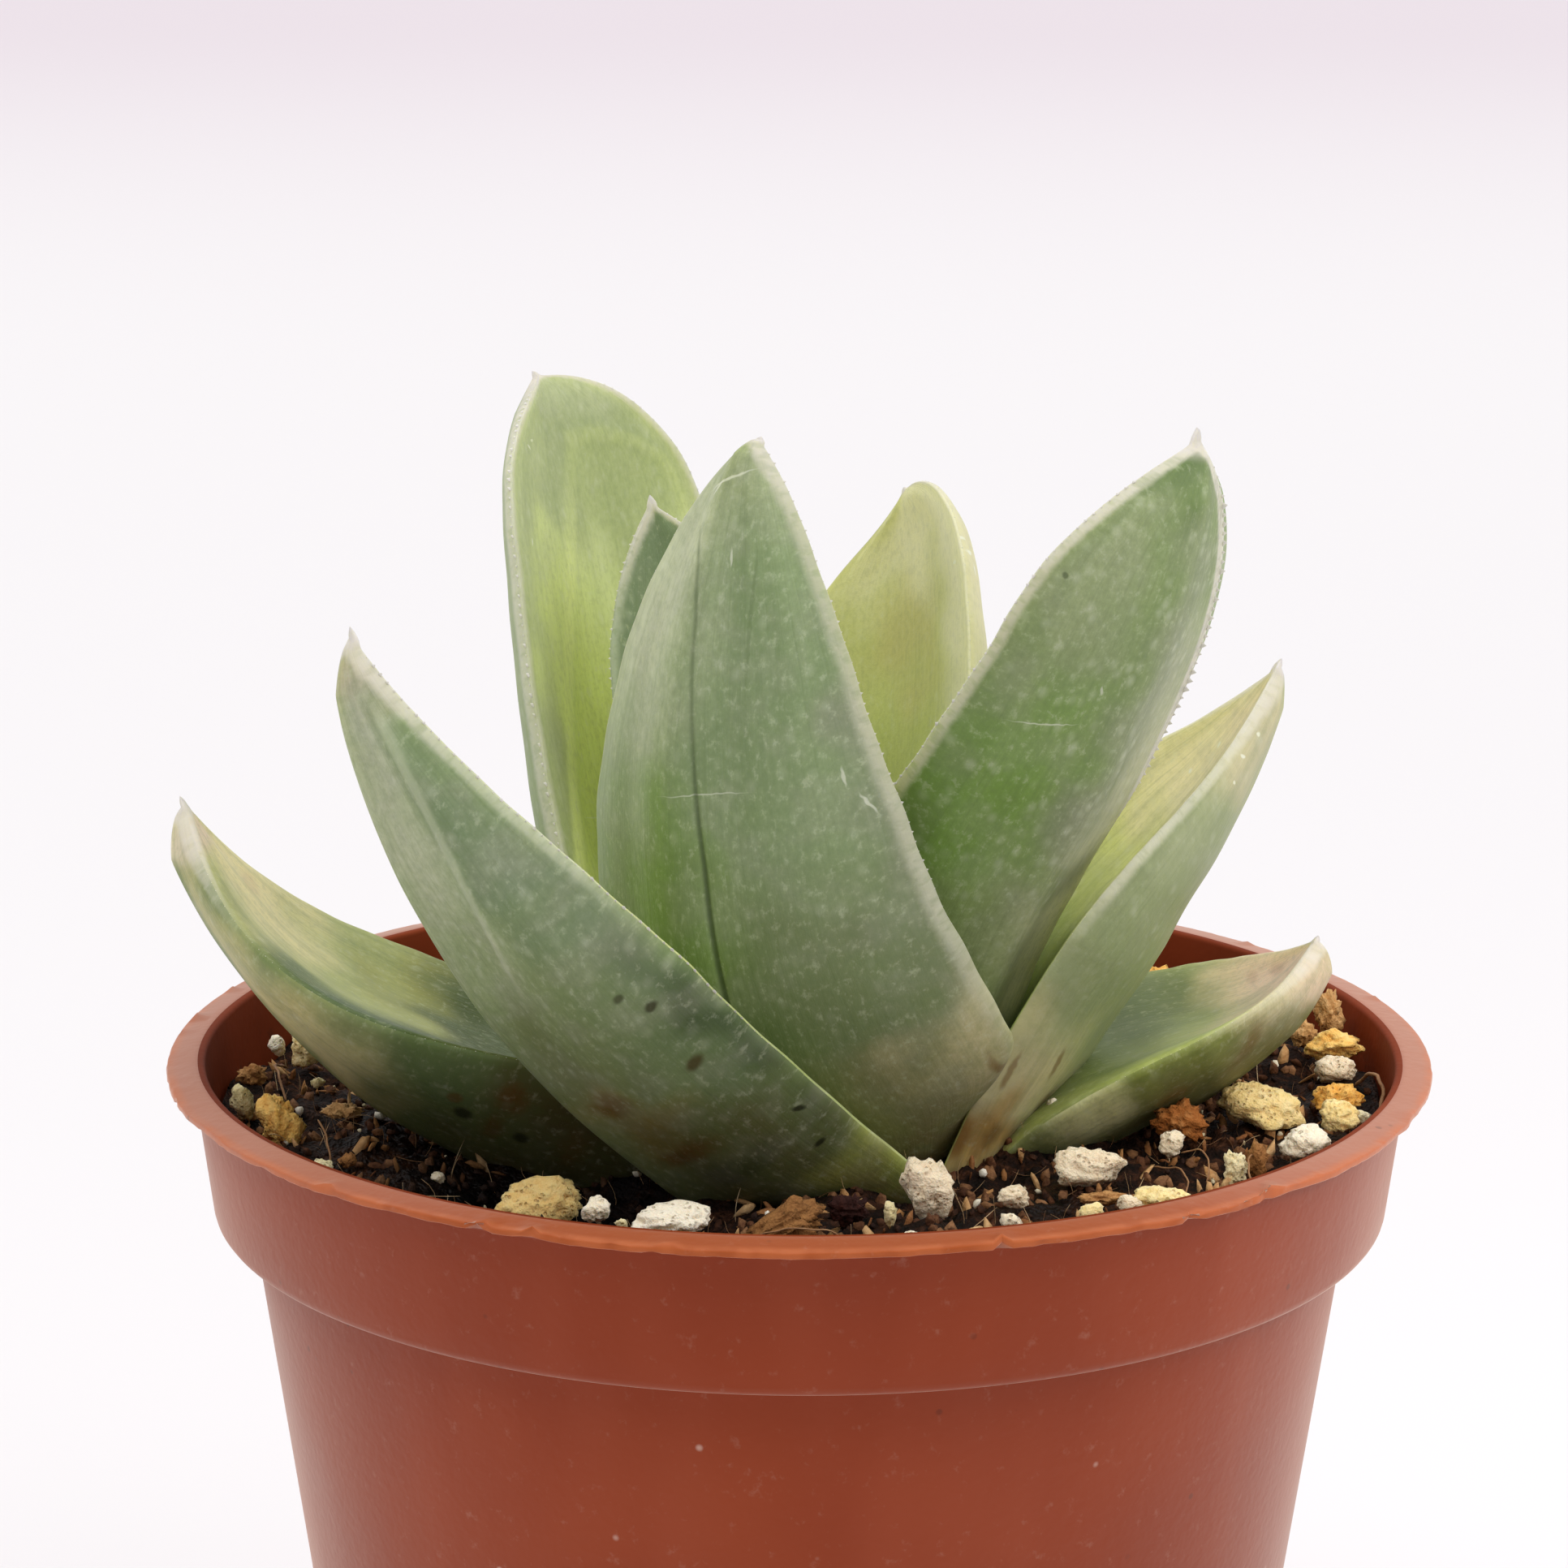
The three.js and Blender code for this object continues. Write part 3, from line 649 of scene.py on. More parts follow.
# What each leaf's faces look like. washes: (paint, v, s, half width in v, half length in s, strength).
# marks: (paint, across mm, along mm, half width mm, half length mm, strength, turn in degrees).
# margin: its paint, its width in mm on the -v and the +v side, its strength, and the s at which it begins.
PLAIN_LOOK = dict(
    margin=("pale_horn", 0.5, 0.5, 0.7, 0.12), dots=0.5, bloom=0.3, streaks=0.22, mottle=1.0,
    lower=("sage", [("mist_green", 0, 0.85, 1, 0.3, 0.7), ("olive", 0, 0.08, 1.2, 0.16, 0.7)], []),
    upper=("yellow_green", [("cream", 0, 0.95, 1, 0.15, 0.6), ("moss", 0, 0.25, 1, 0.2, 0.7)], []))
LOOKS = {
    "leaf_front_left": dict(
        margin=("#c2c6b0", 0.3, 0.22, 0.7, 0.5), dots=0.5, bloom=0.5,
        lower=("sage", [
            # painted light: #86927a is a painted grey sheen along the +v margin, and #6b6a3c, dark_green,
            # #3f4f30, #33422a and #666339 are painted shade, darker toward the foot
            ("#b8bd9c", 0.0, 0.84, 0.5, 0.22, 0.8), ("#bcc0a6", 0.2, 0.9, 0.5, 0.05, 0.6),
            ("#bcb49c", 0.4, 0.97, 1, 0.05, 0.9), ("#6b6a3c", 0.0, 0.42, 0.35, 0.07, 0.5),
            ("#788b68", 0.66, 0.7, 0.24, 0.17, 0.75), ("#86927a", 0.95, 0.6, 0.14, 0.2, 0.6),
            ("#83905f", 0.4, 0.5, 0.5, 0.09, 0.5), ("dark_green", 0.95, 0.3, 0.4, 0.2, 0.75),
            ("#3f4f30", 1.02, 0.3, 0.1, 0.2, 0.9), ("#33422a", 1.0, 0.25, 0.12, 0.06, 0.9),
            ("#9a8440", 0.2, 0.31, 0.35, 0.06, 0.8), ("#666339", 0.5, 0.19, 0.8, 0.1, 0.8),
            ("#b4b458", 0.97, 0.1, 0.3, 0.05, 0.7)],
         [("#3c3c1e", 7.3, 26.9, 0.28, 0.26, 0.75, 0), ("#38361a", 8.3, 25.2, 0.32, 0.3, 0.85, 0),
          ("#4c401c", 7.7, 20.4, 0.5, 0.4, 0.85, 20), ("near_black", 8.7, 13, 0.12, 0.35, 0.9, 20),
          ("near_black", 8, 10.2, 0.25, 0.2, 0.9, 0), ("brown", 1.2, 20.5, 1.8, 0.8, 0.8, 25),
          ("brown", 2.4, 15.2, 2.5, 0.7, 0.8, 10), ("near_black", 4, 12.5, 2.6, 0.9, 0.6, 0)])),
    "leaf_right_low": dict(
        margin=("#d2ceb0", 0.3, 0.35, 0.3, 0.5), dots=0.3, bloom=0.15,
        lower=("#8c965c", [
            # painted light: #96a253 is a painted highlight along the rounded near margin at -v, and the pale
            # #e6e8b2 lightens that margin low down, where it lies in shade
            ("#96a253", -1.0, 0.54, 0.25, 0.2, 0.9), ("#d2c6a2", -0.9, 0.8, 0.4, 0.12, 0.85),
            ("#747140", -0.5, 0.58, 0.35, 0.3, 0.7), ("#e6e8b2", -0.95, 0.29, 0.3, 0.085, 0.95),
            ("#dfc8aa", -0.6, 0.96, 1.0, 0.09, 0.9)],
         [("brown", -6.5, 14.5, 0.8, 1.6, 0.5, 0), ("brown", -6, 20, 0.7, 1.5, 0.5, 0)]),
        upper=("#a3ae62", [
            # painted light: #b7c46c is the same painted highlight along the near margin, and #6f7c48 and
            # dark_green are the painted shadow of leaf_right on this face
            ("#b7c46c", -0.95, 0.56, 0.35, 0.22, 0.85), ("#6f7c48", 0.6, 0.48, 0.5, 0.15, 0.9),
            ("dark_green", 0.1, 0.34, 0.8, 0.14, 0.7), ("#d0c48e", 0.5, 0.7, 0.35, 0.09, 0.8),
            ("#fbdcc2", 0.2, 0.91, 1.3, 0.22, 0.95)],
         [("#a97c5c", 2.4, 24.2, 0.9, 0.6, 0.35, 0), ("#a97c5c", 3.6, 22, 0.7, 0.6, 0.3, 0)])),
    "leaf_left_low": dict(
        margin=("#8c9a68", 0.3, 0.3, 0.15, 0.5), dots=0.35, bloom=0.1,
        lower=("#74844f", [
            # partly painted shade: #5a4624 darkens the face toward the foot for shade as well as for soil
            ("#c8c084", 0.62, 0.76, 0.3, 0.2, 0.85), ("#ddd0b3", 0.6, 0.98, 1, 0.06, 0.9),
            ("#dcd298", 0.6, 0.63, 0.25, 0.1, 0.9), ("#6f8452", 0.95, 0.52, 0.25, 0.14, 0.8),
            ("#5a4624", 0.5, 0.24, 0.8, 0.16, 0.85)],
         [("near_black", 7.1, 24.1, 0.5, 0.6, 0.85, 0), ("brown", 6.8, 22.2, 0.9, 0.6, 0.9, 0),
          ("near_black", 6.6, 20.1, 0.4, 0.5, 0.8, 0), ("brown", 8.2, 25, 0.4, 0.5, 0.6, 0),
          ("brown", 8.7, 21.5, 0.6, 0.9, 0.8, 0), ("brown", 6.5, 16.8, 1.2, 0.8, 0.7, 0)]),
        upper=("#b0b572", [
            # painted shade: #455c30 is a dark green band along the +v margin
            ("#ecdfa8", -0.3, 0.86, 0.9, 0.14, 0.95), ("#c8c68c", 0.8, 0.88, 0.4, 0.08, 0.7),
            ("#e6d0b8", 0.4, 0.98, 1, 0.06, 0.9), ("#455c30", 0.92, 0.62, 0.34, 0.2, 0.95),
            ("#9c9c4e", -0.5, 0.52, 0.7, 0.09, 0.85), ("#40500f", -0.1, 0.42, 1.2, 0.1, 0.97)],
         [("#c89b74", -1.5, 43.5, 1.2, 1, 0.25, 0)])),
    "leaf_right": dict(
        margin=("#dcdbc4", 0.35, 0.3, 0.65, 0.3), dots=0.45, bloom=0.25, mottle=0.6,
        lower=("#9fa87d", [
            ("#cdc49e", -0.8, 0.92, 0.7, 0.14, 0.9), ("#9caa7a", -0.7, 0.42, 0.35, 0.14, 0.7),
            ("#a4af82", -0.97, 0.3, 0.16, 0.07, 0.7), ("#b9be88", -0.55, 0.22, 0.3, 0.06, 0.8),
            ("#e8dcaa", -0.85, 0.15, 0.5, 0.08, 0.85), ("#d6a85c", -0.93, 0.05, 0.5, 0.05, 0.85)],
         [("brown", -9.3, 8.6, 0.15, 1.3, 0.6, 6), ("brown", -6.9, 10.1, 0.2, 1.1, 0.6, 14),
          ("ochre", -8.4, 6.2, 0.8, 1.9, 0.6, 8), ("brown", -4.7, 7.6, 0.6, 0.9, 0.75, 0),
          ("brown", -7.8, 4.1, 0.6, 1.1, 0.7, 10), ("brown", -9.5, 3.4, 0.45, 1.4, 0.7, 0),
          ("fleck", -2.3, 35.3, 0.12, 0.14, 0.9, 0), ("fleck", -3.5, 33.6, 0.14, 0.12, 0.9, 0),
          ("fleck", -4.2, 31.8, 0.1, 0.12, 0.8, 0)]),
        upper=("#d0d586", [
            ("#e6d8b4", 0.1, 0.9, 1.2, 0.2, 0.95), ("#ebe2b4", 0.5, 0.74, 0.45, 0.13, 0.85),
            ("#e9dfa6", -0.6, 0.7, 0.5, 0.15, 0.8), ("moss", 0, 0.25, 1, 0.2, 0.6)],
         [("fleck", 1.6, 33.2, 0.1, 0.2, 0.8, 0), ("fleck", 2.8, 30.6, 0.1, 0.2, 0.8, 0)])),
    "leaf_front": dict(
        margin=("#c6c4ae", 0.35, 0.5, 0.66, 0.12), dots=0.36, bloom=0.4,
        lower=("#8ea072", [
            # painted light: the grey #8b8e78 along the +v margin is a painted reflection on that flank
            ("#c4c9a6", -0.62, 0.79, 0.6, 0.24, 0.9), ("#a2ac80", 0.2, 0.93, 1, 0.1, 0.8),
            ("#7f9166", 0.4, 0.6, 0.4, 0.18, 0.7), ("moss", -0.3, 0.4, 0.45, 0.1, 0.95),
            ("#8b8e78", 1.0, 0.38, 0.2, 0.26, 0.85), ("#6c784a", 0.6, 0.28, 0.8, 0.12, 0.7),
            ("#8f895c", 0.7, 0.12, 0.8, 0.1, 0.8), ("#beb68a", 0.96, 0.16, 0.22, 0.06, 0.9)],
         [("fleck", -0.2, 52, 1.3, 0.07, 0.6, 35), ("fleck", -0.8, 51.4, 0.5, 0.06, 0.6, 60),
          ("fleck", 0.9, 47.4, 0.07, 0.5, 0.5, 10), ("fleck", 0.4, 33.6, 2.3, 0.05, 0.4, 2),
          ("fleck", 9.4, 32.2, 0.07, 0.8, 0.5, 30), ("fleck", 8.2, 34.2, 0.07, 0.6, 0.5, 12),
          ("#63754a", 2.6, 44, 0.12, 3.4, 0.45, 3), ("brown", 11.6, 6.5, 0.25, 4, 0.7, -8)])),
    "leaf_front_right": dict(
        margin=("#c8c5b6", 0.27, 0.6, 0.8, 0.12), dots=0.68, bloom=0.3,
        lower=("#889b63", [
            # painted light: #989b84 and #c4c5a6 are a painted grey sheen on the +v flank, and the pale
            # #f6f4ce lightens that flank low down, where it lies in shade
            ("#a4ad84", -0.85, 0.84, 0.35, 0.12, 0.6), ("#7b9c48", -0.66, 0.54, 0.42, 0.15, 0.95),
            ("#4f6c2a", -0.42, 0.958, 0.5, 0.035, 0.95), ("#989b84", 0.1, 0.62, 0.28, 0.3, 0.7),
            ("#c4c5a6", 0.55, 0.52, 0.35, 0.26, 0.85), ("#aeb684", 0, 0.32, 0.8, 0.14, 0.5),
            ("#f6f4ce", 0.55, 0.36, 0.4, 0.14, 1.0)],
         [("fleck", -5.6, 35.1, 1.7, 0.05, 0.5, 20), ("#3c4a2a", -7.7, 45.3, 0.12, 0.2, 0.6, 0),
          ("fleck", -3.2, 38.4, 0.08, 0.3, 0.5, 20)])),
    "leaf_back_left": dict(
        margin=("#cfcfbc", 0.5, 0.6, 0.75, 0.12), dots=0.45, bloom=0.2, streaks=0.14, mottle=0.8,
        upper=("#c4cd98", [
            # partly painted light: #e2ee8e is the pressed arch's paler colour, made brighter for the shade
            # the arch lies in
            ("#a2ae78", -0.3, 0.84, 1.0, 0.1, 0.85), ("#b4bc92", 0.2, 0.96, 1.0, 0.06, 0.6),
            ("#e2ee8e", 0.5, 0.62, 0.34, 0.12, 0.8), ("#b4c460", 0.4, 0.44, 0.6, 0.08, 0.6),
            ("#a4ae7c", 0.98, 0.52, 0.2, 0.25, 0.6)],
         [("fleck", 8.5, 47.5, 0.1, 0.3, 0.7, 20), ("fleck", 6, 54.6, 0.3, 0.1, 0.6, 30),
          ("fleck", 5.2, 55.1, 0.25, 0.1, 0.6, 0), ("fleck", 5.5, 28.5, 1.5, 0.05, 0.3, 0)])),
    "leaf_back": dict(
        margin=("#d2ceaa", 0.3, 0.2, 0.25, 0.12), dots=0.3, bloom=0.05, streaks=0.08, mottle=0.7,
        lower=("#c2c18e", [("#e0dab2", -0.8, 0.8, 0.5, 0.2, 0.7)],
         [("fleck", -9.6, 39, 0.4, 0.12, 0.95, 10), ("fleck", -9.8, 39.8, 0.25, 0.1, 0.95, 0),
          ("fleck", -9.4, 38, 0.08, 0.4, 0.9, 0)]),
        upper=("#c6c97a", [
            ("#ece7ba", -0.3, 0.88, 1.2, 0.14, 0.85), ("#eae6c4", -0.95, 0.66, 0.35, 0.3, 0.8),
            ("#c6b06c", 0.0, 0.66, 0.35, 0.1, 0.3), ("#b3c062", 0.1, 0.48, 0.8, 0.1, 0.5)],
         [("fleck", -8.8, 38.5, 0.3, 0.1, 0.9, 0)])),
    "leaf_young": dict(
        margin=("#aab49a", 0.4, 0.6, 0.8, 0.12), dots=0.4, bloom=0.2,
        upper=("#7b8d66", [("moss", 0, 0.6, 0.5, 0.2, 0.4)], [])),
}
STAIN_SIZE = 0.6            # marks at least this large, in mm, are laid on with the washes


def look_of(name):
    return {**PLAIN_LOOK, **LOOKS.get(name, {})}


def skin_washes(name, v, s, x, y):
    """The broad colours of a leaf's lower and upper skin at every point: base paint, washes, large stains,
    broad lengthwise streaks, wax bloom in clouds, and grime at the foot."""
    look = look_of(name)
    seed = 11.0 * list(LEAVES).index(name)
    wander = np.array([noise.noise_vector((0.3 * a, 0.3 * b, seed)) for a, b in zip(x, y)])
    cloud = np.array([noise.fractal((0.35 * a, 0.35 * b, seed + 3), 0.8, 2.0, 4) for a, b in zip(x, y)])
    streak = np.array([noise.fractal((5 * a, 1.1 * b, seed + 6), 1.0, 2.0, 3) for a, b in zip(v, s)])
    sides = []
    for key in ("lower", "upper"):
        base, washes, marks = look[key]
        colour = np.tile(linear(base), (len(v), 1))

        def lay(paint, share):
            colour[:] = mix(colour, np.array(linear(paint)), share[:, None])

        for paint, at_v, at_s, wide, long, strength in washes:
            far = np.hypot((v + 0.2 * wander[:, 0] - at_v) / wide, (s + 0.08 * wander[:, 1] - at_s) / long)
            lay(paint, ease(clamp01((1.65 - far) / 1.3)) * strength)
        for paint, at_x, at_y, wide, long, strength, turn in marks:
            if min(wide, long) >= STAIN_SIZE:
                far = np.hypot((x + 0.8 * wander[:, 0] - at_x) / wide, (y + 0.8 * wander[:, 1] - at_y) / long)
                lay(paint, ease(clamp01((1.5 - far) / 1.0)) * strength)
        lay("deep_green", ease(clamp01((streak + 0.2) / 0.7)) * look["streaks"])
        lay("lavender", ease(clamp01((cloud + 0.16) / 0.56)) * 0.5 * look["bloom"])
        lay("brown", ease(clamp01((0.16 - s) / 0.14)) * ease(clamp01((cloud + 0.2) / 0.4)) * 0.6)
        sides.append(colour)
    return sides


def leaf_skin(name):
    """Waxy skin: washes, fine lengthwise streaks, pale dots, small marks, a horny margin and a pale spine."""
    look = look_of(name)
    material, n = new_material(name + "_skin")
    mm = n.uv("leaf_mm")
    upper, inward = n.parts(n.uv("leaf_side"))[:2]
    crease, second = n.parts(n.uv("leaf_relief"))[:2]
    v, s = n.parts(n.uv("leaf_share"))[:2]
    mm_x, mm_y = n.parts(mm)[:2]
    face = n.maths("MULTIPLY_ADD", upper, 37.0, list(LEAVES).index(name) * 11.0)
    real = n.joined(mm_x, mm_y, face)
    colour = n.add("ShaderNodeAttribute", dict(attribute_name="wash")).outputs["Color"]
    if name == PRESSED_LEAF:
        # the pressed arch: its own paler yellow-green, made brighter as painted light for the shade it lies
        # in, and its raised outline paler still as a painted highlight
        pressed = n.times(second, upper)
        colour = n.lay(colour, "#e0ee80", pressed, n.ramp(s, 0.52, 0.78, 0.8, 0.12))
        ridge = n.ramp(n.times(pressed, n.maths("SUBTRACT", 1.0, pressed)), 0.08, 0.25)
        colour = n.lay(colour, "#eaf39c", ridge, n.ramp(s, 0.66, 0.8, 0.7, 0.14))
    if name in KEELS:
        colour = n.lay(colour, "#dcd8cc", n.ramp(second, 0.0, 0.3, 0, 0.9))
    # lengthwise streaks as fine as a vein, and small mottling
    fine = n.noise(n.joined(n.times(v, 38.0), n.times(s, 2.4), face), 1.0, 2, 0.6)
    colour = n.lay(colour, "deep_green", n.ramp(fine, 0.45, 0.7, 0, 0.7 * look["streaks"]))
    mottle = n.noise(n.stretched(real, 2.1, 1.3, 1), 1.0, 3, 0.7)
    colour = n.lay(colour, "deep_green", n.ramp(mottle, 0.34, 0.56, 0.2 * look["mottle"], 0))
    colour = n.lay(colour, "#c6ccae", n.ramp(mottle, 0.52, 0.72, 0, 0.34 * look["mottle"]))
    # soft pale dots, a little longer than wide, thicker in some patches than in others
    dot = n.ramp(n.cells(n.stretched(real, 1.05, 0.7, 1), 1.0, 0.85), 0.46, 0.02)
    patch = n.ramp(n.noise(n.stretched(real, 0.7, 0.35, 1), 1.0, 1), 0.32, 0.6, 0.3, 1.0)
    colour = n.lay(colour, "#dfe3c8", dot, patch, n.ramp(s, 0.1, 0.45), 0.42 * look["dots"])
    # small marks, their outlines a little shaken
    shake = n.add("ShaderNodeTexNoise", None, Vector=real, Scale=2.5, Detail=0.0).outputs[1]
    shaken = n.vector("ADD", mm, n.scaled(n.vector("SUBTRACT", shake, (0.5, 0.5, 0.5)), 0.14))
    for key, on_face in (("lower", n.maths("SUBTRACT", 1.0, upper)), ("upper", upper)):
        for paint, x, y, wide, long, strength, turn in look[key][2]:
            if min(wide, long) < STAIN_SIZE:
                colour = n.lay(colour, paint, n.oval(shaken, x, y, wide, long, turn), on_face, strength)
    if name in CREASES:
        # the line's paint: painted shade in leaf_front's crease, a painted highlight on leaf_front_left's
        # raised line
        paint, strength = CREASE_SHADE_AND_HIGHLIGHT[name]
        colour = n.lay(colour, paint, n.ramp(crease, 0.15, 0.9, 0, strength))
    # the margin, paler and a little wider toward the tip
    paint, left, right, strength, begin = look["margin"]
    tip = n.ramp(s, 0.78, 0.96)
    width = n.times(n.ramp(v, -0.2, 0.2, left, right), n.maths("MULTIPLY_ADD", tip, 0.35, 1.0))
    ragged = n.noise(real, 1.5, 2)
    into = n.maths("ADD", n.maths("DIVIDE", inward, width), n.maths("MULTIPLY_ADD", ragged, 0.9, -0.45))
    foot_share = 0.3 if begin < 0.3 else 0
    rim = n.times(n.ramp(into, 1.5, 0.4), n.ramp(s, begin, begin + 0.2, foot_share, 1.0),
                  n.ramp(ragged, 0.3, 0.55, 0.6, 1.0), n.maths("MULTIPLY_ADD", tip, 0.8 - strength, strength))
    colour = n.blend(rim, colour, n.blend(tip, paint, "#dcd6c8"))
    # the end spine
    colour = n.lay(colour, "#eae2d8", n.ramp(s, 0.968, 0.988, 0, 0.9))
    height = n.maths("MULTIPLY_ADD", fine, 0.5, n.times(mottle, 0.6))
    finish_material(
        n, colour, n.ramp(mottle, 0.3, 0.7, 0.42, 0.58), height, 0.00008, Subsurface_Weight=0.35,
        Subsurface_Scale=0.003, Subsurface_Radius=(1.0, 1.0, 0.35), IOR=1.42, Specular_IOR_Level=0.4)
    return material


def make_leaves():
    """All leaves, oldest first. Each is cut by the ones before it, a little swollen, so that a gap stays."""
    cutters = []
    shapes = {}
    for name in LEAVES:
        shapes[name] = leaf_surface(name)
        piece = leaf_mesh(shapes[name], leaf_skin(name), "skin_" + name)
        if cutters:
            cut_by(piece, cutters)
        dress(piece, "leaf", name)
        cutters.append(leaf_mesh(leaf_surface(name, LEAF_GAP), None, "cutter_" + name, LEAF_GAP))
    for cutter in cutters:
        bpy.data.objects.remove(cutter)
    return shapes


# The margins' small teeth

TOOTH_PITCH = 0.66
TOOTH_LONG = 0.42
TOOTH_WIDE = 0.24

# How strong the teeth are on a leaf's -v and +v margin
TEETH = {
    "leaf_front_left": (0.4, 0.8), "leaf_front": (0.35, 0.45), "leaf_front_right": (0.75, 0.6),
    "leaf_back_left": (0.7, 0.75), "leaf_back": (0.25, 0.2), "leaf_right": (0.25, 0.25),
    "leaf_left_low": (0.2, 0.2), "leaf_right_low": (0.2, 0.2), "leaf_young": (0.5, 0.5),
    "leaf_rear_left": (0.6, 0.6), "leaf_rear_right": (0.6, 0.6),
}


def teeth_tree(material):
    """Sets small leaning teeth along lines that carry an outward direction and a size."""
    tree, n, given = geometry_tree("margin teeth", [
        ("Pitch", "Float", 0.00066), ("Tooth long", "Float", 0.00025), ("Tooth wide", "Float", 0.0002),
        ("Seed", "Int", 0)])
    curve = n.get("GeometryNodeMeshToCurve", Mesh=given["Geometry"])
    even = n.add("GeometryNodeResampleCurve", dict(mode="LENGTH"), Curve=curve, Length=given["Pitch"])
    outward = n.add("GeometryNodeInputNamedAttribute", dict(data_type="FLOAT_VECTOR"), Name="outward")
    size = n.add("GeometryNodeInputNamedAttribute", dict(data_type="FLOAT"), Name="size")
    tangent = n.get("GeometryNodeInputTangent")
    lean = n.vector("ADD", outward.outputs[0], n.scaled(tangent, 0.45))
    turn = n.add("FunctionNodeAxesToRotation", dict(primary_axis="Z", secondary_axis="X"), [lean, tangent])
    tooth = n.get("GeometryNodeMeshCone", Vertices=5, Radius_Top=0.0, Radius_Bottom=given["Tooth wide"],
                  Depth=given["Tooth long"])
    tooth = n.get("GeometryNodeTransform", Geometry=tooth, Scale=(1, 0.42, 1), Translation=(0, 0, -0.00006))
    scale = n.maths("MULTIPLY", size.outputs[0], n.chance("FLOAT", given["Seed"], 0.45, 1.2))
    placed = n.get("GeometryNodeInstanceOnPoints", Points=even.outputs[0], Instance=tooth,
                   Rotation=turn.outputs[0], Scale=n.joined(scale, scale, scale))
    finish_tree(n, placed, material)
    return tree


def horn():
    """The horny, slightly clear stuff of the margins and their teeth."""
    material, n = new_material("horny_margin")
    place = n.place()
    colour = n.colours(n.noise(place, 420, 3), [(0.3, "#dad8c8"), (0.6, "#e6e1d6"), (0.8, "#f2ece2")])
    rough = n.ramp(n.noise(place, 900, 2), 0.3, 0.7, 0.35, 0.5)
    finish_material(
        n, colour, rough, n.noise(place, 2500, 2), 0.00002, Subsurface_Weight=0.3, Subsurface_Scale=0.001,
        Subsurface_Radius=(1.0, 0.95, 0.85), IOR=1.45)
    return material


def keel_line(shape, path):
    """Where a keel runs on a leaf's lower face."""
    low = (2 * LEAF_ACROSS - np.arange(LEAF_ACROSS + 1)) % (2 * LEAF_ACROSS)
    line = []
    for ring, v, s in zip(shape["rings"], shape["v"], shape["s"]):
        at = np.interp(s, *np.array(path).T)
        line.append([np.interp(at, v[low], ring[low][:, axis]) for axis in range(3)])
    return np.array(line)


def make_teeth(shapes):
    """Teeth on every margin and on the keels, on lines taken from the finished leaves."""
    lines = []
    for name, (left, right) in TEETH.items():
        shape = shapes[name]
        lines.append((shape, shape["rings"][:, 0], -shape["across"], left, 0.22))
        lines.append((shape, shape["rings"][:, LEAF_ACROSS], shape["across"], right, 0.22))
    for name, path in KEELS.items():
        shape = shapes[name]
        lines.append((shape, keel_line(shape, path), -shape["normal"], 1.15, path[0][0]))
    points, edges, outward, size = [], [], [], []
    for shape, line, away, strength, start in lines:
        keep = (shape["s"] > start) & (shape["s"] < 0.975)
        first = len(points)
        points += line[keep].tolist()
        edges += [(first + i, first + i + 1) for i in range(keep.sum() - 1)]
        outward += away[keep].tolist()
        s = shape["s"][keep]
        size += (strength * ease(clamp01((s - start) / 0.2)) * ease(clamp01((0.985 - s) / 0.04))).tolist()
    piece = make_line("margin_teeth", points, edges)
    add_values(piece, "outward", "FLOAT_VECTOR", outward)
    add_values(piece, "size", "FLOAT", size)
    run_tree(piece, teeth_tree(horn()), pitch=TOOTH_PITCH * MM, tooth_long=TOOTH_LONG * MM,
             tooth_wide=TOOTH_WIDE * MM, seed=3)
    turned_to_mesh(piece)
    dress(piece, "leaf")


# The stem

def make_stem():
    """The short stem with the scars of shed leaves round it, and its root stock."""
    profile = [(0, -ROOT_DEPTH), (0.6, -ROOT_DEPTH), (1.0, -20), (ROOT_RADIUS, -16), (2.4, -12),
               (STEM_RADIUS - 0.2, -8)]
    profile += [(STEM_RADIUS - 0.25 * abs(math.sin(2.1 * z)), z) for z in np.arange(-7.5, 0.9, 0.25)]
    profile += [(STEM_RADIUS - 0.5, 1.4), (STEM_RADIUS * 0.75, 2.0), (STEM_RADIUS * 0.4, STEM_TOP - 0.1),
                (0, STEM_TOP)]
    turns = 40
    points = []
    for r, z in profile:
        for x, y in round_places(turns):
            wobble = 1 + 0.07 * noise.noise((x * 1.4, y * 1.4, z * 0.4))
            points.append((STEM_X + r * wobble * x, STEM_Y + r * wobble * y, SOIL_Z + z))
    material, n = new_material("stem_bark")
    rings = n.noise(n.stretched(n.place(), 90, 90, 900), 1.0, 4)
    colour = n.colours(rings, [(0.3, "#5d4a2b"), (0.55, "#84754a"), (0.75, "#9d9463")])
    finish_material(n, colour, 0.8, rings, 0.0002)
    piece = make_mesh("stem_bark", points, ring_faces(len(profile), turns), material)
    weld(piece.data, 1e-6)
    dress(piece, "stem", "stem")


def weld(mesh, distance):
    """Closes seams and poles."""
    shape = bmesh.new()
    shape.from_mesh(mesh)
    bmesh.ops.remove_doubles(shape, verts=shape.verts, dist=distance)
    bmesh.ops.dissolve_degenerate(shape, edges=shape.edges, dist=distance / 10)
    shape.to_mesh(mesh)
    shape.free()


# The pot

def wall_radius(z):
    return WALL_TOP_RADIUS - WALL_TAPER * (POT_HEIGHT - COLLAR_HEIGHT - z)


def collar_radius(z):
    return mix(COLLAR_FOOT_RADIUS, COLLAR_RADIUS, (z - POT_HEIGHT + COLLAR_HEIGHT) / COLLAR_HEIGHT)


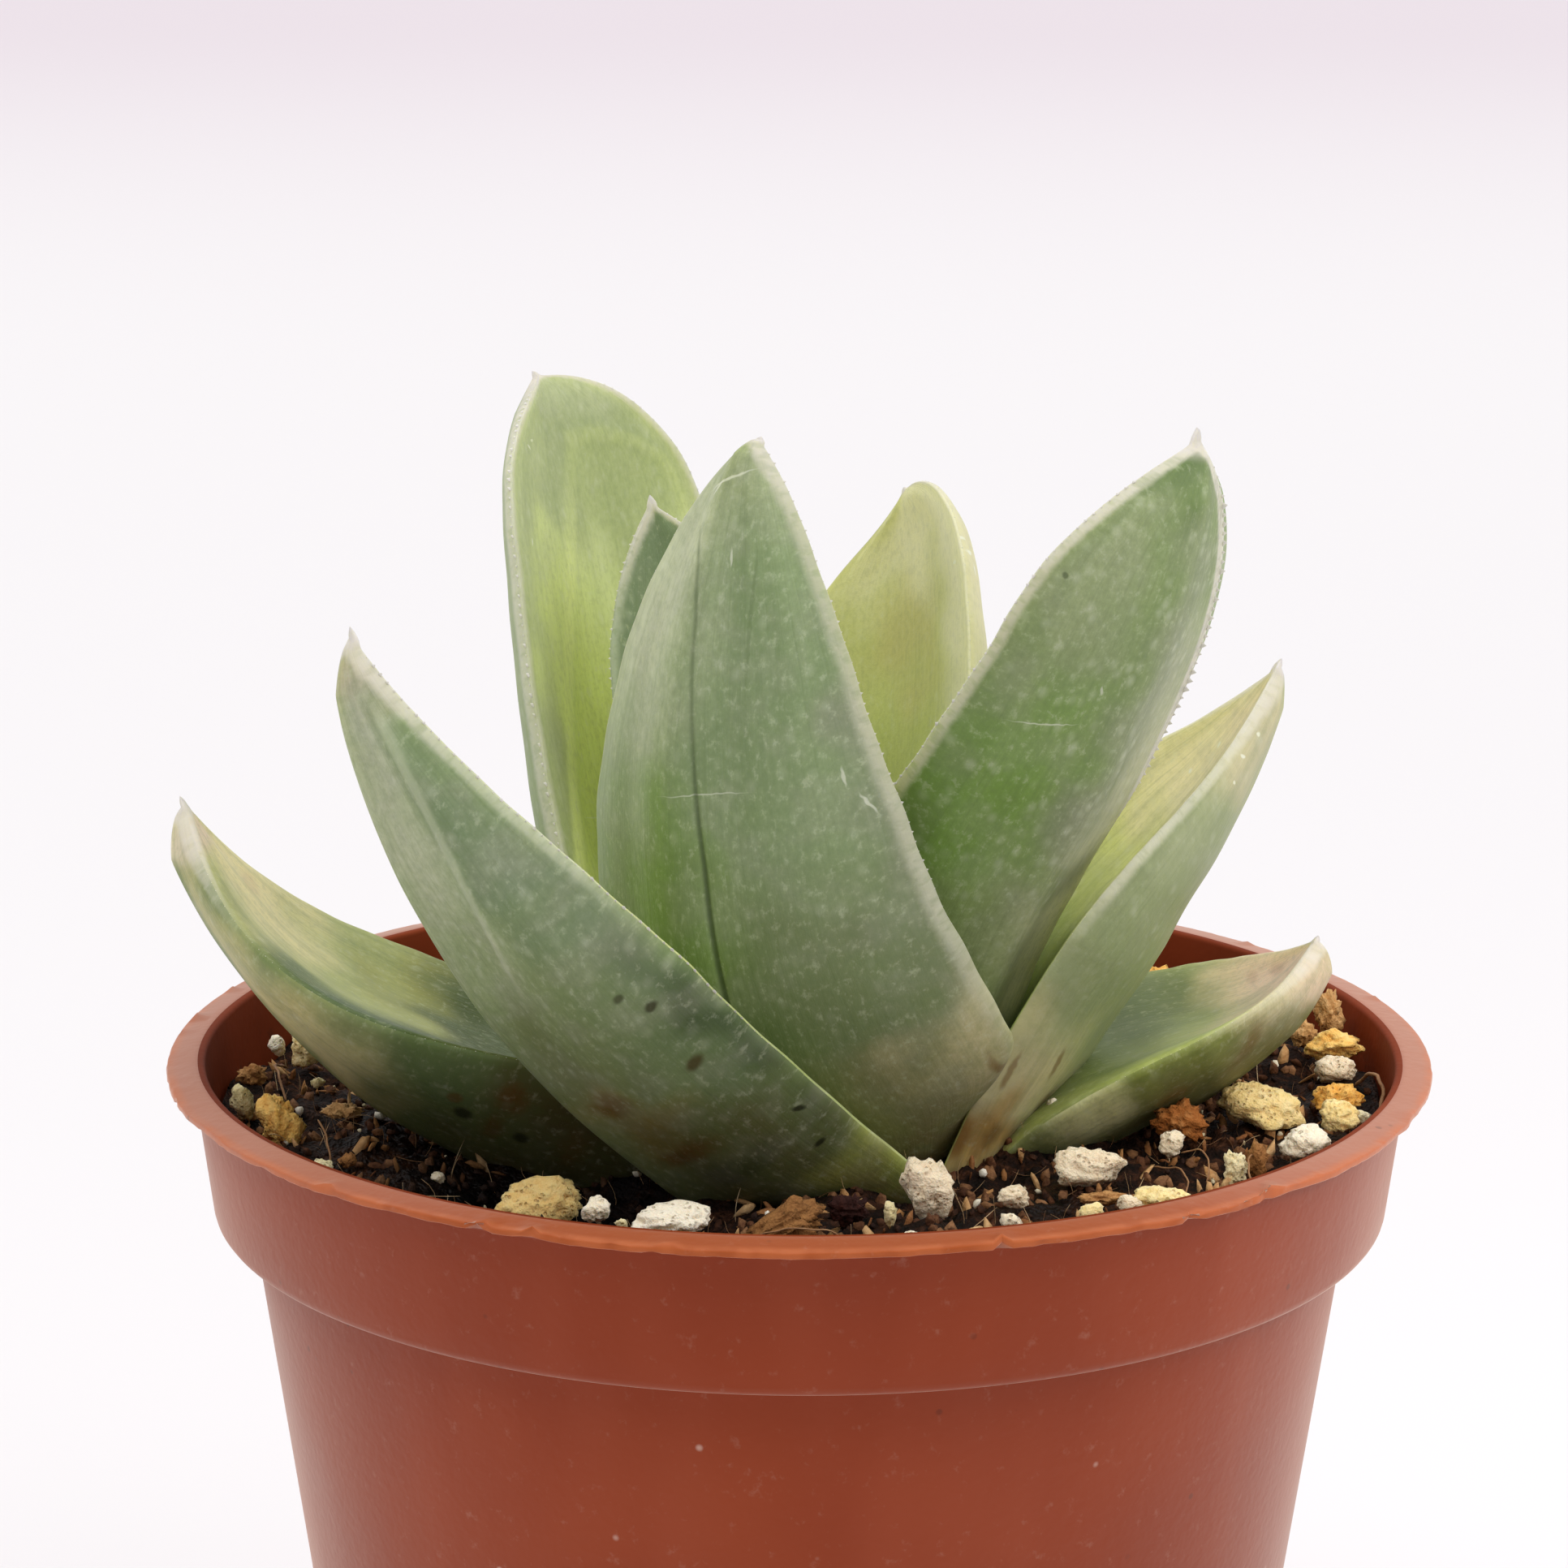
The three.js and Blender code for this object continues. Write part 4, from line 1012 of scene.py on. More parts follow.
def rounded(corners, steps=4):
    """A line through (r, z, rounding) corners, each rounded with a small curve."""
    line = []
    for i, (r, z, size) in enumerate(corners):
        here = np.array([r, z], float)
        if size == 0:
            line.append(here)
            continue
        before = np.array(corners[i - 1][:2], float) - here
        after = np.array(corners[i + 1][:2], float) - here
        a = here + before / np.linalg.norm(before) * size
        b = here + after / np.linalg.norm(after) * size
        for t in np.linspace(0, 1, steps + 1):
            line.append((1 - t) ** 2 * a + 2 * t * (1 - t) * here + t * t * b)
    return line


def subdivided(line, longest):
    """The same line with no step longer than that."""
    full = [line[0]]
    for a, b in zip(line, line[1:]):
        count = max(1, math.ceil(np.linalg.norm(b - a) / longest))
        full += [a + (b - a) * k / count for k in range(1, count + 1)]
    return full


def pot_profile():
    foot = POT_HEIGHT - COLLAR_HEIGHT
    low = POT_HEIGHT - LIP_THICK
    inner = wall_radius(FLOOR_THICK) - POT_WALL
    shoulder = foot + POT_WALL
    corners = [
        (0, 0, 0), (wall_radius(0), 0, 1.2), (wall_radius(foot), foot, 0.25),
        (COLLAR_FOOT_RADIUS, foot, 0.7), (COLLAR_RADIUS, low, 0.2),
        (LIP_RADIUS, POT_HEIGHT - LIP_DROP - LIP_EDGE, 0.1), (LIP_RADIUS, POT_HEIGHT - LIP_DROP, 0.15),
        (COLLAR_RADIUS, POT_HEIGHT, 0.3),
        (COLLAR_RADIUS - POT_WALL, POT_HEIGHT, 0.3), (collar_radius(shoulder) - POT_WALL, shoulder, 0.6),
        (wall_radius(shoulder - 0.8) - POT_WALL, shoulder - 0.8, 0.3), (inner, FLOOR_THICK, 1.5),
        (0, FLOOR_THICK, 0)]
    return subdivided(rounded(corners), 2.0)


def lip_edge(n, radius, z, back):
    """1 on the lip's outer edge, from so many millimetres inside it."""
    out = n.ramp(radius, (LIP_RADIUS - back) * MM, (LIP_RADIUS - back + 0.6) * MM)
    return n.times(out, n.ramp(z, (POT_HEIGHT - 3) * MM, (POT_HEIGHT - 1.8) * MM))


def pot_tree(material, inside_material):
    """Turns a half section round the pot's axis, frays the lip and drills the drain holes."""
    tree, n, given = geometry_tree("nursery pot", [
        ("Rows", "Int", 2), ("Turns", "Int", 200), ("Fray", "Float", 0.0001), ("Holes", "Int", 8),
        ("Hole radius", "Float", 0.00275), ("Hole circle", "Float", 0.018)])
    here = n.get("GeometryNodeInputPosition")
    last = n.maths("SUBTRACT", given["Rows"], 1.0)
    grid = n.get("GeometryNodeMeshGrid", Size_X=last, Size_Y=given["Turns"], Vertices_X=given["Rows"],
                 Vertices_Y=n.maths("ADD", given["Turns"], 1.0))
    across, along, _ = n.parts(here)
    row = n.maths("ROUND", n.maths("ADD", across, n.maths("DIVIDE", last, 2.0)))
    turn = n.times(n.maths("DIVIDE", along, given["Turns"]), 2 * math.pi)
    section = n.add("GeometryNodeSampleIndex", dict(data_type="FLOAT_VECTOR", clamp=True),
                    Geometry=given["Geometry"], Value=here, Index=row)
    r, _, z = n.parts(section.outputs[0])
    place = n.joined(n.times(r, n.maths("COSINE", turn)), n.times(r, n.maths("SINE", turn)), z)
    body = n.get("GeometryNodeSetPosition", Geometry=grid, Position=place)
    body = n.get("GeometryNodeMergeByDistance", Geometry=body, Distance=0.000002)
    # the lip's outer edge is moulded a little unevenly, with flash hanging from it
    x, y, z = n.parts(here)
    radius = n.from_axis(here)
    uneven = n.maths("SUBTRACT", n.noise(here, 260, 4, 0.7), 0.5)
    slow = n.maths("SUBTRACT", n.noise(here, 45, 2, 0.5), 0.5)
    bite = n.ramp(n.noise(here, 620, 2), 0.6, 0.72, 0.0, -0.8)
    push = n.maths("ADD", n.maths("ADD", uneven, slow), bite)
    push = n.times(push, n.times(lip_edge(n, radius, z, 0.9), given["Fray"]))
    outward = n.scaled(n.vector("NORMALIZE", n.joined(x, y, 0.0)), n.times(push, 0.6))
    shift = n.vector("ADD", outward, n.scaled((0, 0, -0.7), push))
    body = n.get("GeometryNodeSetPosition", Geometry=body, Offset=shift)
    ring = n.get("GeometryNodeMeshCircle", Vertices=given["Holes"], Radius=given["Hole circle"])
    drill = n.get("GeometryNodeMeshCylinder", Vertices=32, Radius=given["Hole radius"], Depth=0.01)
    drills = n.get("GeometryNodeInstanceOnPoints", Points=ring, Instance=drill)
    drills = n.get("GeometryNodeRealizeInstances", Geometry=drills)
    cut = n.add("GeometryNodeMeshBoolean", dict(operation="DIFFERENCE"), Mesh_1=body, Mesh_2=drills)
    # the collar's inside has its own plastic, painted darker as painted shade and stained with soil
    slope = (COLLAR_RADIUS - COLLAR_FOOT_RADIUS) / COLLAR_HEIGHT
    wall_middle = n.maths("MULTIPLY_ADD", z, slope, (COLLAR_RADIUS - POT_WALL / 2 - slope * POT_HEIGHT) * MM)
    shoulder = (POT_HEIGHT - COLLAR_HEIGHT + POT_WALL + 0.05) * MM
    inside = n.times(n.maths("LESS_THAN", radius, wall_middle), n.maths("GREATER_THAN", z, shoulder))
    finish_tree(n, cut.outputs[0], material, (inside, inside_material))
    return tree


def pot_plastic():
    """Thin brick-red moulded plastic with flow lines, dust and pale and dark specks, and painted light on its
    lip.
    """
    material, n = new_material("brick_red_plastic")
    place = n.place()
    _, y, z = n.parts(place)
    radius = n.from_axis(place)
    cloud = n.noise(place, 38, 2, 0.6)
    colour = n.colours(cloud, [(0.25, "#84300f"), (0.55, "#8d3613"), (0.8, "#963e1b")])
    flow = n.noise(n.stretched(place, 160, 160, 14), 1.0, 1, 0.6)
    colour = n.lay(colour, "#a9553a", n.ramp(flow, 0.45, 0.75, 0, 0.12))
    # painted light on the lip's top: orange at the front for the light that comes through the thin lip, and
    # paler at its sides and back as a painted sheen
    lip_glow_and_sheen = n.blend(n.ramp(y, -0.037, -0.022), "#a24a14", "#b4765e")
    lip_radius = n.ramp(radius, (COLLAR_RADIUS - 0.7) * MM, COLLAR_RADIUS * MM)
    lip_top = n.ramp(z, (POT_HEIGHT - 1.2) * MM, (POT_HEIGHT - 0.7) * MM)
    colour = n.lay(colour, lip_glow_and_sheen, lip_radius, lip_top, 0.75)
    # a painted highlight: a paler, ragged orange line along the lip's outer edge
    ragged = n.ramp(n.noise(place, 330, 2, 0.7), 0.35, 0.6, 0.4, 1.0)
    colour = n.lay(colour, "#bd6538", lip_edge(n, radius, z, 0.8), ragged, 0.75)
    # dust, pale specks and a few dark ones
    colour = n.lay(colour, "#c9a08e", n.ramp(n.noise(place, 900, 3, 0.75), 0.58, 0.78), 0.14)
    some = n.noise(place, 75, 0)
    colour = n.lay(colour, "#d8b8a8", n.ramp(n.cells(place, 260), 0.09, 0.03), n.ramp(some, 0.52, 0.6), 0.6)
    elsewhere = n.vector("ADD", place, (0.3, 0.1, 0.2))
    dark = n.ramp(n.cells(elsewhere, 380), 0.11, 0.05)
    colour = n.lay(colour, "#3d1a10", dark, n.ramp(some, 0.46, 0.36), 0.45)
    height = n.maths("ADD", n.times(n.noise(place, 1500, 1), 0.3), n.times(flow, 0.6))
    finish_material(
        n, colour, n.ramp(cloud, 0.3, 0.7, 0.38, 0.5), height, 0.00008, IOR=1.5, Specular_IOR_Level=0.15,
        Sheen_Weight=0.58, Sheen_Roughness=0.42, Sheen_Tint=(1.0, 0.8, 0.68, 1.0))
    return material


def pot_inside():
    """The wall's inside: the same plastic painted darker as painted shade, with light coming through it and
    soil splashed on it.
    """
    material, n = new_material("brick_red_plastic_inside")
    place = n.place()
    cloud = n.noise(place, 60, 3, 0.6)
    colour = n.colours(cloud, [(0.3, "#6e2c14"), (0.6, "#803619"), (0.8, "#904424")])
    spots = n.ramp(n.noise(place, 500, 3, 0.7), 0.55, 0.7)
    low = n.ramp(n.parts(place)[2], (POT_HEIGHT - 1.5) * MM, SOIL_Z * MM)
    colour = n.lay(colour, "#4a2a1a", spots, low, 0.7)
    finish_material(n, colour, 0.6, n.noise(place, 1500, 1), 0.00003, IOR=1.5, Specular_IOR_Level=0.06)
    return material


def make_pot():
    """The pot's shell, from a half section that the tree turns round."""
    profile = pot_profile()
    points = [(r, 0, z) for r, z in profile]
    piece = make_line("pot_shell", points, [(i, i + 1) for i in range(len(points) - 1)])
    run_tree(piece, pot_tree(pot_plastic(), pot_inside()), rows=len(profile), turns=420, fray=0.6 * MM,
             holes=DRAIN_HOLES, hole_radius=DRAIN_RADIUS * MM, hole_circle=DRAIN_CIRCLE * MM)
    turned_to_mesh(piece)
    turn_outward(piece.data)
    piece.data.shade_smooth()
    piece.data.set_sharp_from_angle(angle=math.radians(38))
    dress(piece, "pot_plastic", "pot")


def turn_outward(mesh):
    """Turns a closed mesh's faces over if they point inwards."""
    mesh.calc_loop_triangles()
    points = np.array([v.co for v in mesh.vertices])
    tri = np.array([t.vertices[:] for t in mesh.loop_triangles])
    a, b, c = points[tri[:, 0]], points[tri[:, 1]], points[tri[:, 2]]
    if (a * np.cross(b, c)).sum() < 0:
        mesh.flip_normals()


# The soil

def soil_height(x, y):
    """Height of the soil's surface, as the solid has it."""
    ripple = (0.45 * np.sin(0.31 * x + 0.9) * np.cos(0.27 * y - 0.4) + 0.35 * np.sin(0.55 * x - 0.6 * y)
              + 0.25 * np.cos(0.8 * x + 0.5 * y + 1.3))
    heaps = sum(h * np.exp(-((x - hx) ** 2 + (y - hy) ** 2) / half ** 2) for hx, hy, half, h in SOIL_HEAPS)
    return SOIL_Z + ripple + heaps


def wet_hollow_painted_shadow(n, place, colour, paint, share):
    """The colour turned to the paint in the hollow at the front left: a painted shadow of the leaves above
    it, on soil that is wet there.
    """
    return n.lay(colour, paint, n.ramp(n.vector("DISTANCE", place, SHADED_WET_HOLLOW), 0.0145, 0.006), share)


def peat():
    """Dark peat, lumpy, damp in patches."""
    material, n = new_material("peat")
    place = n.place()
    lumps = n.noise(place, 560, 4, 0.75)
    colour = n.colours(lumps, [(0.36, "#080402"), (0.5, "#20110a"), (0.62, "#422616"), (0.78, "#74503a")])
    damp = n.ramp(n.noise(place, 60, 1), 0.4, 0.65)
    colour = n.lay(colour, "#0c0705", damp, 0.4)
    # painted shadow in the wet hollow at the front left
    colour = wet_hollow_painted_shadow(n, place, colour, "#040304", 0.93)
    finish_material(n, colour, n.ramp(damp, 0, 1, 0.85, 0.5), n.noise(place, 1300, 2, 0.8), 0.0006, IOR=1.4,
                    Specular_IOR_Level=0.2)
    return material


def make_soil_bed():
    """The soil as one closed body that fills the pot, with a rough top."""
    rings, turns = 104, 300
    floor = FLOOR_THICK + FIT
    shoulder = POT_HEIGHT - COLLAR_HEIGHT + POT_WALL + FIT
    inner = POT_WALL + FIT
    sides = [(0, floor), (wall_radius(floor) - inner - 1.5, floor), (wall_radius(floor) - inner, floor + 1.5),
             (wall_radius(shoulder - 0.8) - inner, shoulder - 0.8),
             (collar_radius(shoulder) - inner - 0.6, shoulder),
             (collar_radius(shoulder) - inner, shoulder + 0.6)]
    points = [(r * x, r * y, z) for r, z in sides for x, y in round_places(turns)]
    for i in range(rings + 1):
        r = (collar_radius(SOIL_Z) - inner) * (1 - i / rings)
        for x, y in round_places(turns):
            x, y = r * x, r * y
            rough = noise.fractal((x * 0.4, y * 0.4, 3.1), 0.55, 2.1, 5) * 0.6
            points.append((x, y, soil_height(x, y) + (rough if i else rough * 0.3)))
    piece = make_mesh("soil_bed", points, ring_faces(len(sides) + rings + 1, turns), peat())
    weld(piece.data, 1e-6)
    dress(piece, "soil", "soil")
    return piece


def stone(seed, planes=11, sharp=9, rough=0.08, fine=0.04, knobs=0.0, fibrous=0.0, subdivisions=3):
    """A lump of about unit radius: a ball pressed by flat faces, then roughened, knobbed or ridged."""
    random = np.random.default_rng(seed)
    normals = random.normal(size=(planes, 3))
    normals /= np.linalg.norm(normals, axis=1, keepdims=True)
    heights = random.uniform(0.72, 1.0, planes)
    shape = bmesh.new()
    bmesh.ops.create_icosphere(shape, subdivisions=subdivisions, radius=1)
    ways = np.array([v.co for v in shape.verts])
    faces = [[v.index for v in f.verts] for f in shape.faces]
    shape.free()
    press = np.maximum(ways @ normals.T, 0) / heights
    radius = np.minimum((press ** sharp).sum(1) ** (-1 / sharp), 1.15)
    start = random.uniform(0, 50, 3)
    for i, way in enumerate(ways):
        at = Vector(way * 1.7 + start)
        radius[i] *= 1 + rough * noise.noise(at * 1.6) * 2 + fine * noise.noise(at * 5.5) * 2
        if knobs:
            large, small = noise.voronoi(at * 1.5)[0][0], noise.voronoi(at * 4.2)[0][0]
            radius[i] += knobs * (0.45 - large) + 0.35 * knobs * (0.45 - small)
        if fibrous:
            radius[i] *= 1 + fibrous * noise.noise((at.x * 1.5, at.y * 7, at.z * 7))
    return ways * radius[:, None], faces


def crumb_material(name, stops, rough=0.9, depth=0.0003, scale=900.0, pits=0.0, wet=False, **fixed):
    """Rough mineral, bark or peat: a grainy colour, tinted lump by lump, sometimes with small pits painted
    dark as painted shade, and sometimes with the painted shadow of the wet hollow.
    """
    material, n = new_material(name)
    place = n.place()
    tint = n.add("ShaderNodeAttribute", dict(attribute_name="tint")).outputs["Fac"]
    grain = n.noise(place, scale, 3, 0.7)
    height = grain
    colour = n.colours(n.maths("MULTIPLY_ADD", grain, 0.6, n.times(tint, 0.5)), stops)
    if pits:
        # the pits take the darkest colour, as painted shade in them
        hole = n.times(n.ramp(n.cells(place, 2600), 0.34, 0.12), n.ramp(n.noise(place, 800, 0), 0.42, 0.6))
        colour = n.lay(colour, stops[0][1], hole, pits)
        height = n.maths("SUBTRACT", grain, n.times(hole, 0.6))
    # painted shadow in the wet hollow at the front left, as on the peat
    if wet:
        colour = wet_hollow_painted_shadow(n, place, colour, "#060507", 0.9)
    finish_material(n, colour, rough, height, depth, **fixed)
    return material


def scatter_tree(name, shapes, material):
    """Strews small shapes over the soil's top, turned and sized by chance."""
    tree, n, given = geometry_tree(name, [
        ("Density", "Float", 100.0), ("Seed", "Int", 0), ("Smallest", "Float", 0.5),
        ("Largest", "Float", 1.0), ("Reach", "Float", 0.037), ("Lift", "Float", 0.0)])
    here = n.get("GeometryNodeInputPosition")
    seed = given["Seed"]
    above = n.maths("GREATER_THAN", n.parts(here)[2], (SOIL_Z - 5) * MM)
    inside = n.times(n.maths("LESS_THAN", n.from_axis(here), given["Reach"]), above)
    strewn = n.get("GeometryNodeDistributePointsOnFaces", Mesh=given["Geometry"],
                   Density=n.times(given["Density"], inside), Seed=seed)
    choice = n.get("GeometryNodeCollectionInfo", Collection=shapes, Separate_Children=True,
                   Reset_Children=True)
    turn = n.chance("FLOAT_VECTOR", seed, (0, 0, 0), (6.283, 6.283, 6.283))
    size = n.chance("FLOAT", seed, given["Smallest"], given["Largest"])
    placed = n.get("GeometryNodeInstanceOnPoints", Points=strewn, Instance=choice, Pick_Instance=True,
                   Instance_Index=n.chance("INT", seed, 0, 20), Rotation=turn,
                   Scale=n.joined(size, size, size))
    placed = n.get("GeometryNodeTranslateInstances", Instances=placed, Local_Space=False,
                   Translation=n.joined(0.0, 0.0, given["Lift"]))
    tinted = n.add("GeometryNodeStoreNamedAttribute", dict(data_type="FLOAT", domain="INSTANCE"),
                   Geometry=placed, Name="tint", Value=n.chance("FLOAT", seed, 0.0, 1.0))
    finish_tree(n, tinted.outputs[0], material)
    return tree


def shape_box(name, shapes):
    """A collection of small unit shapes for strewing."""
    box = bpy.data.collections.new(name)
    for i, (points, faces) in enumerate(shapes):
        mesh = bpy.data.meshes.new(f"{name}_{i}")
        mesh.from_pydata((np.asarray(points) * MM).tolist(), [], faces)
        mesh.shade_smooth()
        box.objects.link(bpy.data.objects.new(mesh.name, mesh))
    return box


def strew(bed, name, shapes, material, density, seed, smallest, largest, lift, reach):
    piece = new_piece(name, bed.data.copy())
    run_tree(piece, scatter_tree(name, shapes, material), density=density, seed=seed, smallest=smallest,
             largest=largest, lift=lift * MM, reach=reach * MM)
    turned_to_mesh(piece)
    dress(piece, "soil", "soil")


def tube(line, thick, sides=3):
    """A closed tube along a line of points, thinner at its ends."""
    line = np.asarray(line, float)
    ways = np.gradient(line, axis=0)
    ways /= np.linalg.norm(ways, axis=1, keepdims=True)
    points = []
    for i, (p, way) in enumerate(zip(line, ways)):
        across = np.cross(way, (0.31, 0.2, 0.93))
        across /= np.linalg.norm(across)
        other = np.cross(way, across)
        w = thick * (0.4 if i in (0, len(line) - 1) else 1)
        points += [p + w * (x * across + y * other) for x, y in round_places(sides)]
    last = (len(line) - 1) * sides
    ends = [tuple(range(sides))[::-1], tuple(range(last, last + sides))]
    return np.array(points), ring_faces(len(line), sides) + ends


def fibre(seed, length, thick):
    """A short bent root hair."""
    bend = np.random.default_rng(seed).uniform(-1, 1, 3)
    t = np.linspace(-1, 1, 7)
    line = np.stack([t * length / 2, 0.3 * length * bend[0] * t ** 2 + 0.15 * length * bend[1] * t ** 3,
                     0.25 * length * bend[2] * (1 - t ** 2)], 1)
    return tube(line, thick)


def shard(seed, stretch):
    """A small torn crumb of peat or bark, with a few dozen faces."""
    points, faces = stone(seed, planes=7, sharp=14, rough=0.3, fine=0.2, subdivisions=1)
    return points * np.array(stretch), faces


# Roots that show on the soil: points as x, y and height below the rim, and a radius
ROOTS = [
    ([(37.6, -0.6, -2.9), (38.2, -1.9, -1.6), (38.8, -3.4, -1.2), (39.0, -5.2, -1.9), (38.4, -6.8, -3.4)],
     0.13),
    ([(-31.3, -13.9, -1.2), (-30.8, -14.6, -2.0), (-30.4, -15.4, -3.0), (-30.3, -16.0, -4.2)], 0.07),
    ([(24.6, -16.2, -2.6), (25.6, -17.0, -2.0), (26.2, -18.4, -2.4), (25.8, -19.8, -3.4)], 0.06),
    ([(29.6, -17.0, -2.2), (28.6, -18.6, -1.8), (28.4, -20.4, -2.6), (29.0, -21.6, -3.6)], 0.07),
    ([(22.6, -17.6, -3.2), (24.0, -19.2, -2.5), (24.6, -21.2, -2.9), (24.2, -22.8, -3.8)], 0.06),
    ([(-34.9, 1.6, -2.6), (-35.8, -0.2, -1.6), (-35.2, -2.2, -1.9), (-34.4, -3.8, -3.2)], 0.09),
    ([(-2.6, -31.4, -3.2), (-1.0, -32.4, -2.2), (1.4, -32.6, -2.2), (3.0, -31.8, -3.4)], 0.06),
    ([(20.4, 22.2, -3.2), (22.0, 23.8, -1.8), (24.4, 24.2, -1.9), (26.0, 23.0, -3.4)], 0.1),
    ([(-18.0, 24.4, -3.4), (-20.0, 23.6, -2.2), (-22.4, 24.0, -2.4), (-23.6, 25.4, -3.6)], 0.1),
]


def make_roots(material):
    """A few larger roots on the soil, each through its points on a smooth line."""
    points, faces = [], []
    for path, thick in ROOTS:
        path = np.array(path) + np.array([0, 0, POT_HEIGHT])
        knots = np.arange(len(path))
        t = np.linspace(0, len(path) - 1, 25)
        line = np.stack([np.interp(t, knots, path[:, axis]) for axis in range(3)], 1)
        for _ in range(6):
            line[1:-1] = (line[:-2] + line[2:]) / 2
        wave = np.array([noise.noise_vector(Vector(p * 0.9)) for p in line])
        tube_points, tube_faces = tube(line + 0.18 * wave, thick, 6)
        faces += [[i + len(points) for i in f] for f in tube_faces]
        points += tube_points.tolist()
    piece = make_mesh("roots", points, faces, material)
    add_values(piece, "tint", "FLOAT", [0.25] * len(points))
    dress(piece, "soil", "soil")


# the middle of the wet hollow at the front left, where the soil gets a painted shadow
SHADED_WET_HOLLOW = (-0.018, -0.021, 0.066)

# Larger grains that lie on the soil: kind, x, y, height of the middle below the rim, half sizes across, in
# depth and in height, and a number for the shape
GRAINS = [
    ("perlite", 8.1, -24.3, -2.5, 1.95, 1.5, 2.45, 1), ("perlite", 18.4, -18.8, -2.7, 2.45, 1.7, 1.6, 2),
    ("pumice", 30.6, -6.9, -2.3, 2.95, 2.2, 1.75, 3), ("perlite", 32.5, -14.7, -2.3, 1.85, 1.2, 1.05, 4),
    ("pumice", 35.3, -10.1, -2.2, 1.5, 1.3, 1.25, 5), ("ochre", 35.6, -5.7, -2.4, 2.1, 1.6, 1.3, 6),
    ("perlite", 36.7, 0.6, -2.0, 1.75, 1.4, 1.2, 7), ("ochre", 36.6, 4.6, -1.5, 2.3, 1.6, 1.2, 8),
    ("tan", 36.9, 8.9, -0.5, 1.3, 1.4, 1.8, 9), ("rust", 25.0, -10.7, -2.1, 2.1, 1.2, 1.6, 10),
    ("perlite", 24.0, -14.1, -2.7, 0.95, 0.75, 1.0, 11), ("perlite", 13.3, -24.5, -2.8, 1.05, 0.9, 0.85, 12),
    ("perlite", 12.9, -29.7, -2.7, 0.75, 0.7, 0.55, 13), ("pumice", 22.6, -25.8, -2.5, 2.1, 1.3, 0.9, 14),
    ("pumice", 17.9, -28.2, -2.5, 0.85, 0.8, 0.65, 15), ("cream", 27.6, -19.4, -2.6, 0.95, 0.7, 1.3, 16),
    ("tan", 29.2, -18.0, -2.5, 0.85, 0.7, 1.5, 17), ("pumice", -16.3, -21.8, -4.0, 3.0, 2.0, 1.7, 18),
    ("perlite", -12.7, -28.2, -2.6, 0.95, 0.9, 0.9, 19), ("perlite", -7.8, -30.0, -2.5, 2.75, 1.9, 1.3, 20),
    ("wedge", -1.6, -29.6, -2.7, 3.2, 1.7, 1.75, 21), ("dark_bark", 3.0, -27.8, -2.6, 1.5, 1.3, 1.4, 22),
    ("cream", 5.5, -29.1, -2.5, 0.45, 0.5, 0.95, 23), ("perlite", 6.7, -33.6, -2.4, 0.55, 0.5, 0.4, 24),
    ("pumice", -33.9, 5.9, -2.3, 1.7, 1.4, 1.7, 25), ("perlite", -36.1, 5.6, -2.2, 0.65, 0.7, 0.9, 26),
    ("tan", -37.0, -0.5, -2.3, 1.3, 1.1, 0.8, 27), ("cream", -37.1, -6.3, -2.6, 0.85, 0.8, 1.35, 28),
    ("ochre", -34.3, -9.7, -3.0, 1.8, 1.5, 2.4, 29), ("tan", -30.6, -5.8, -3.3, 1.7, 1.2, 0.6, 30),
    ("perlite", -31.1, 1.4, -2.7, 0.35, 0.35, 0.5, 31), ("cream", -30.7, -17.7, -3.2, 0.8, 0.7, 0.5, 32),
    ("tan", -29.2, -16.1, -3.3, 0.65, 0.6, 0.5, 33), ("ochre", 26.5, 26.0, -2.6, 1.6, 1.4, 1.0, 34),
    ("perlite", 16.6, -10.9, -1.2, 0.5, 0.5, 0.65, 35), ("pumice", -20, 27, -2.9, 2.4, 1.9, 1.5, 36),
    ("perlite", 14, 32, -3.0, 2.3, 1.8, 1.4, 37), ("perlite", -28.5, 20.5, -3.2, 1.4, 1.2, 1.0, 38),
    ("tan", -8.5, 33.0, -3.2, 1.9, 1.5, 1.0, 39), ("rust", 29.5, 18.5, -2.9, 1.6, 1.2, 1.1, 40),
    ("pumice", 2.5, 29.5, -3.2, 1.3, 1.1, 0.9, 41), ("perlite", -24.5, 13.5, -3.4, 1.0, 0.9, 0.8, 42),
    ("cream", -11.0, -30.2, -2.8, 0.5, 0.4, 0.4, 43), ("perlite", 20.4, -26.2, -2.8, 1.1, 0.8, 0.75, 44),
    ("tan", 18.8, -24.6, -2.9, 1.6, 0.8, 0.5, 45), ("tan", 35.0, 7.4, -1.5, 1.1, 1.0, 1.2, 46),
    ("cream", 37.2, -8.2, -2.7, 0.7, 0.6, 0.55, 47), ("tan", -27.0, -3.4, -3.6, 1.5, 0.9, 0.5, 48),
    ("cream", -32.6, -1.4, -2.6, 0.55, 0.4, 0.4, 49), ("perlite", -23.5, -14.5, -5.0, 0.5, 0.5, 0.4, 50),
]

